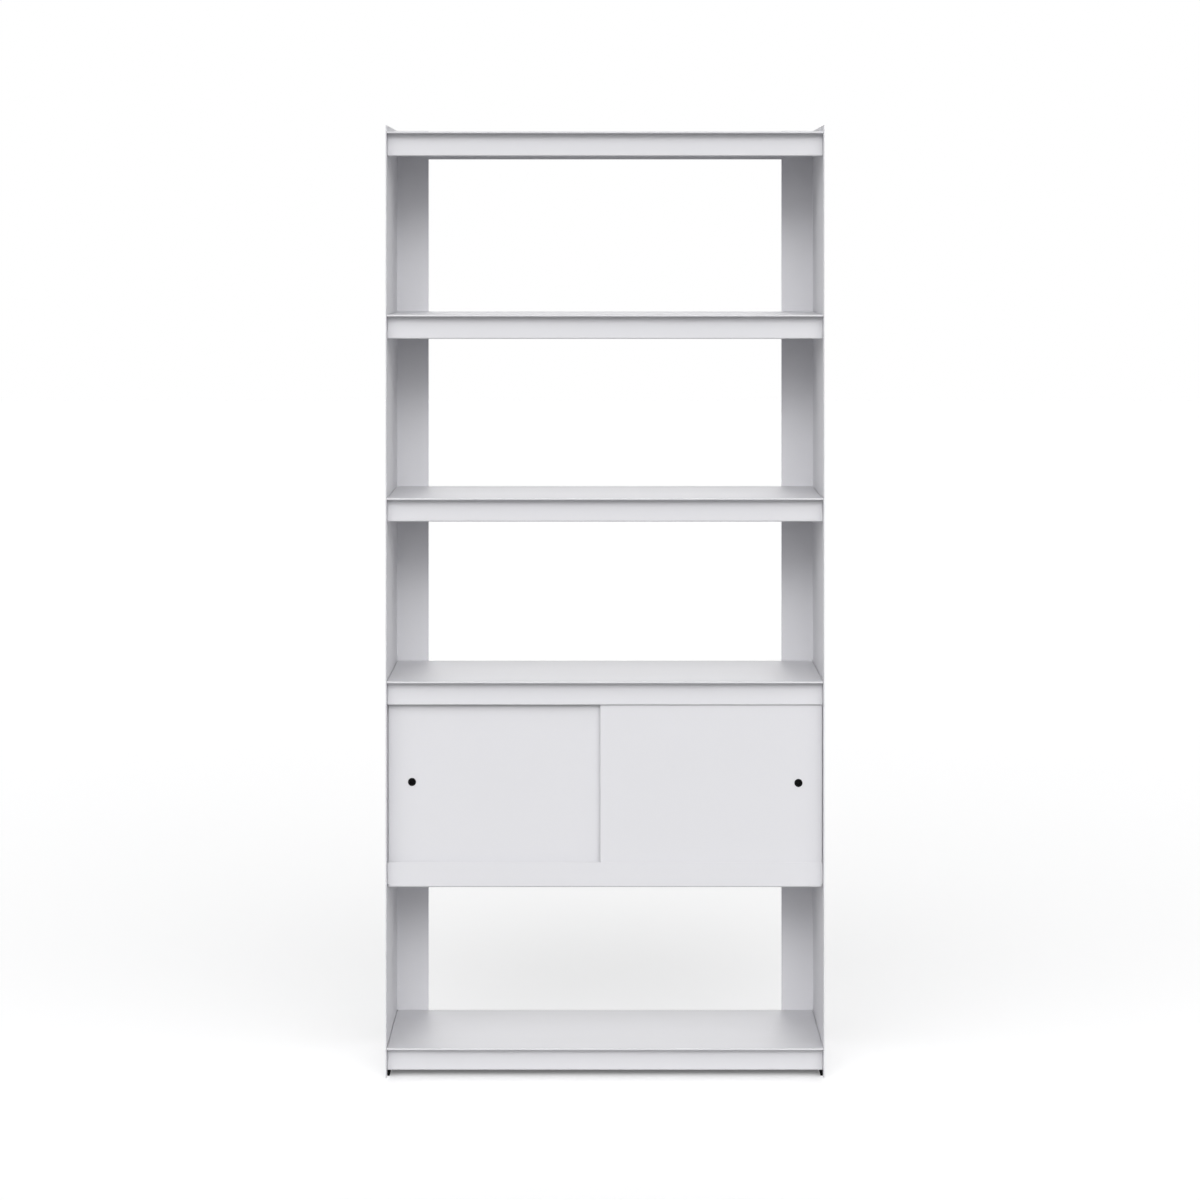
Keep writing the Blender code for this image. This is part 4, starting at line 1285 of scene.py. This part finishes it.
def add_screw(node, axis, heads_to):
    """Lays a screw's Z along an axis towards its head and puts its seat where the node's is."""
    tip_end, head_end = (LOW, HIGH) if heads_to > 0 else (HIGH, LOW)
    head = edge(node, head_end, axis)
    grip = abs(head - edge(node, tip_end, axis)) - SCREW_HEAD_HEIGHT
    points, faces = screw_patch(grip)
    place = np.array([middle(node, X), middle(node, Y), middle(node, Z)])
    place[axis] = head - heads_to * SCREW_HEAD_HEIGHT
    laid = points[:, [2, 1, 0] if axis == X else [0, 2, 1]]
    laid[:, axis] *= heads_to
    piece = add_piece(node, skin(node, [(laid + place, faces)]), "zinc_plated_steel")
    piece.modifiers.new("shading", "WEIGHTED_NORMAL")


for shelf_name in SHELVES:
    for side_name, side_sign in SIDES.items():
        add_screw(f"{shelf_name}_{side_name}_end_screw", X, -side_sign)
        add_screw(f"{shelf_name}_{side_name}_rear_screw", Y, -1)
print(f"{4 * len(SHELVES)} screws with a thread of {1000 * THREAD_PITCH:.0f} mm pitch")

# %% [markdown]
# ## Floor
#
# The bookcase stands on a white studio floor. The camera has to see it white where no shadow falls, and
# it must not throw so much light up that the undersides glow. Light Path tells the two apart: rays from
# the camera, and rays mirrored or passed through, see a pale floor with some light of its own, and all
# other rays see a greyer one. The floor's own light stands for the white studio around it. Under the
# bookcase it is turned down over a soft-edged box, which is a painted shadow where a real floor gets
# little light.

# %% Tell seen rays apart


def seen_rays(tree):
    """One for rays from the camera and for rays that are mirrored or passed through."""
    path = add_node(tree, "LightPath").outputs
    rays = add_maths(tree, "MAXIMUM", path["Is Camera Ray"], path["Is Glossy Ray"])
    return add_maths(tree, "MAXIMUM", rays, path["Is Transmission Ray"])


def link_two_ways(tree, seen, unseen, output):
    """Gives rays that are seen one shader, and the light that falls on the object another."""
    choice = add_node(tree, "MixShader", Fac=seen_rays(tree))
    tree.links.new(unseen, choice.inputs[1])
    tree.links.new(seen, choice.inputs[2])
    tree.links.new(choice.outputs[0], tree.nodes[output].inputs["Surface"])


print("Seen rays and the light on the object get shaders of their own")

# %% The floor's own light
FLOOR_GLOW = 0.44
# The floor's glow under the bookcase is lower: a painted shadow.
FLOOR_GLOW_IN_PAINTED_SHADOW = 0.12
FLOOR_SHADE_REACH = 0.05
FLOOR_SHADE_SOFT = {"X": 0.012, "Y": 0.088}


def glow_with_painted_shadow(tree):
    """The floor's own light, which is turned down under the bookcase as a painted shadow.

    How deep a place lies inside the painted shadow's field is half the field's size less the distance from
    X or Y 0.
    For X and for Y that depth makes a smooth step, and the product of both steps is the painted shadow.
    """
    place = add_node(tree, "SeparateXYZ", Vector=add_node(tree, "TexCoord").outputs["Object"]).outputs
    shade = 1.0
    for axis, half in (("X", OUTSIDE), ("Y", BACK + FLOOR_SHADE_REACH)):
        inside = add_maths(tree, "SUBTRACT", half, add_maths(tree, "ABSOLUTE", place[axis]))
        step = add_node(tree, "MapRange", {"interpolation_type": "SMOOTHSTEP"}, Value=inside,
                        From_Min=0.0, From_Max=FLOOR_SHADE_SOFT[axis])
        shade = add_maths(tree, "MULTIPLY", step.outputs["Result"], shade)
    # Painted shadow: the glow is turned down where the shaded field covers the floor.
    lost = add_maths(tree, "MULTIPLY", shade, FLOOR_GLOW - FLOOR_GLOW_IN_PAINTED_SHADOW)
    return add_maths(tree, "SUBTRACT", FLOOR_GLOW, lost)


print(f"The floor's own light is {FLOOR_GLOW}, and {FLOOR_GLOW_IN_PAINTED_SHADOW} under the bookcase")

# %% Floor
FLOOR_REACH = 60.0
FLOOR_SEEN = (0.86, 0.86, 0.865, 1)
FLOOR_LIT = (0.40, 0.40, 0.40, 1)


def add_floor():
    """A level square, far wider than the view, with the two-way floor material."""
    reach = FLOOR_REACH / 2
    mesh = bpy.data.meshes.new("floor")
    mesh.from_pydata([(-reach, -reach, 0), (reach, -reach, 0), (reach, reach, 0), (-reach, reach, 0)], [],
                     [(0, 1, 2, 3)])
    material = bpy.data.materials.new("floor")
    material.use_nodes = True
    tree = material.node_tree
    tree.nodes.remove(tree.nodes["Principled BSDF"])
    seen = add_node(tree, "BsdfDiffuse", Color=FLOOR_SEEN).outputs["BSDF"]
    glow = add_node(tree, "Emission", Strength=glow_with_painted_shadow(tree)).outputs["Emission"]
    both = add_node(tree, "AddShader")
    tree.links.new(seen, both.inputs[0])
    tree.links.new(glow, both.inputs[1])
    lit = add_node(tree, "BsdfDiffuse", Color=FLOOR_LIT).outputs["BSDF"]
    link_two_ways(tree, both.outputs[0], lit, "Material Output")
    mesh.materials.append(material)
    floor = bpy.data.objects.new("floor", mesh)
    bpy.context.scene.collection.objects.link(floor)


add_floor()
print(f"Floor {FLOOR_REACH:.0f} m wide")

# %% [markdown]
# ## Studio light
#
# The shading under the noses and down the bays tells where the light is. Most of it comes from panels
# in front, from the horizon up to about 60 degrees, with a brighter middle, and some from the white
# backdrop low behind, which lights the rear of the shelves. Each panel is a soft-edged patch of the
# world: a band of heights times how far a direction points to the panel's side. A higher power of that
# pointing makes a narrower panel.

# %% Studio panels
# Each has its side, its lowest and highest height in degrees, its pointing's power and its strength.
STUDIO_PANELS = {
    "front low": ((0, -1, 0), 0, 18, 1, 1.24),
    "front middle": ((0, -1, 0), 18, 36, 1, 3.16),
    "front high": ((0, -1, 0), 36, 60, 1, 2.03),
    "centre low": ((0, -1, 0), 0, 18, 8, 0.94),
    "centre middle": ((0, -1, 0), 18, 36, 8, 7.55),
    "backdrop": ((0, 1, 0), 0, 30, 6, 4.80),
}
STUDIO_SOFTNESS = 0.10


def soft_step(tree, upright, height, below, above):
    """Goes smoothly from one value below a height, in degrees, to another above it."""
    level = sin(radians(height))
    start, end = max(level - STUDIO_SOFTNESS, 0.0), level + STUDIO_SOFTNESS
    step = add_node(tree, "MapRange", {"interpolation_type": "SMOOTHSTEP"}, Value=upright,
                    From_Min=start, From_Max=end, To_Min=below, To_Max=above)
    return step.outputs["Result"]


def panel_light(tree, direction, upright, facing, low, high, power, strength):
    """Strength times the band between two heights, times the pointing towards facing to a power."""
    rise, fall = soft_step(tree, upright, low, 0.0, 1.0), soft_step(tree, upright, high, 1.0, 0.0)
    band = add_maths(tree, "MULTIPLY", rise, fall)
    towards = add_maths(tree, "MAXIMUM", add_dot(tree, direction, facing), 0.0)
    pointing = add_maths(tree, "POWER", towards, power)
    return add_maths(tree, "MULTIPLY", add_maths(tree, "MULTIPLY", band, pointing), strength)


print("Studio panels:", ", ".join(STUDIO_PANELS))

# %% Studio world
WHITE = (1, 1, 1, 1)


def add_world():
    """White for rays that are seen, and the sum of the studio panels for light on the object."""
    world = bpy.data.worlds.new("studio")
    world.use_nodes = True
    tree = world.node_tree
    direction = add_node(tree, "TexCoord").outputs["Generated"]
    upright = add_node(tree, "SeparateXYZ", Vector=direction).outputs["Z"]
    total = 0.0
    for panel in STUDIO_PANELS.values():
        light = panel_light(tree, direction, upright, *panel)
        total = add_maths(tree, "ADD", light, total)
    lit = add_node(tree, "Background", Color=WHITE, Strength=total).outputs["Background"]
    background = tree.nodes["Background"]
    background.inputs["Color"].default_value = WHITE
    link_two_ways(tree, background.outputs["Background"], lit, "World Output")
    bpy.context.scene.world = world


add_world()
bpy.context.scene.view_settings.view_transform = "Standard"
print("View transform:", bpy.context.scene.view_settings.view_transform)
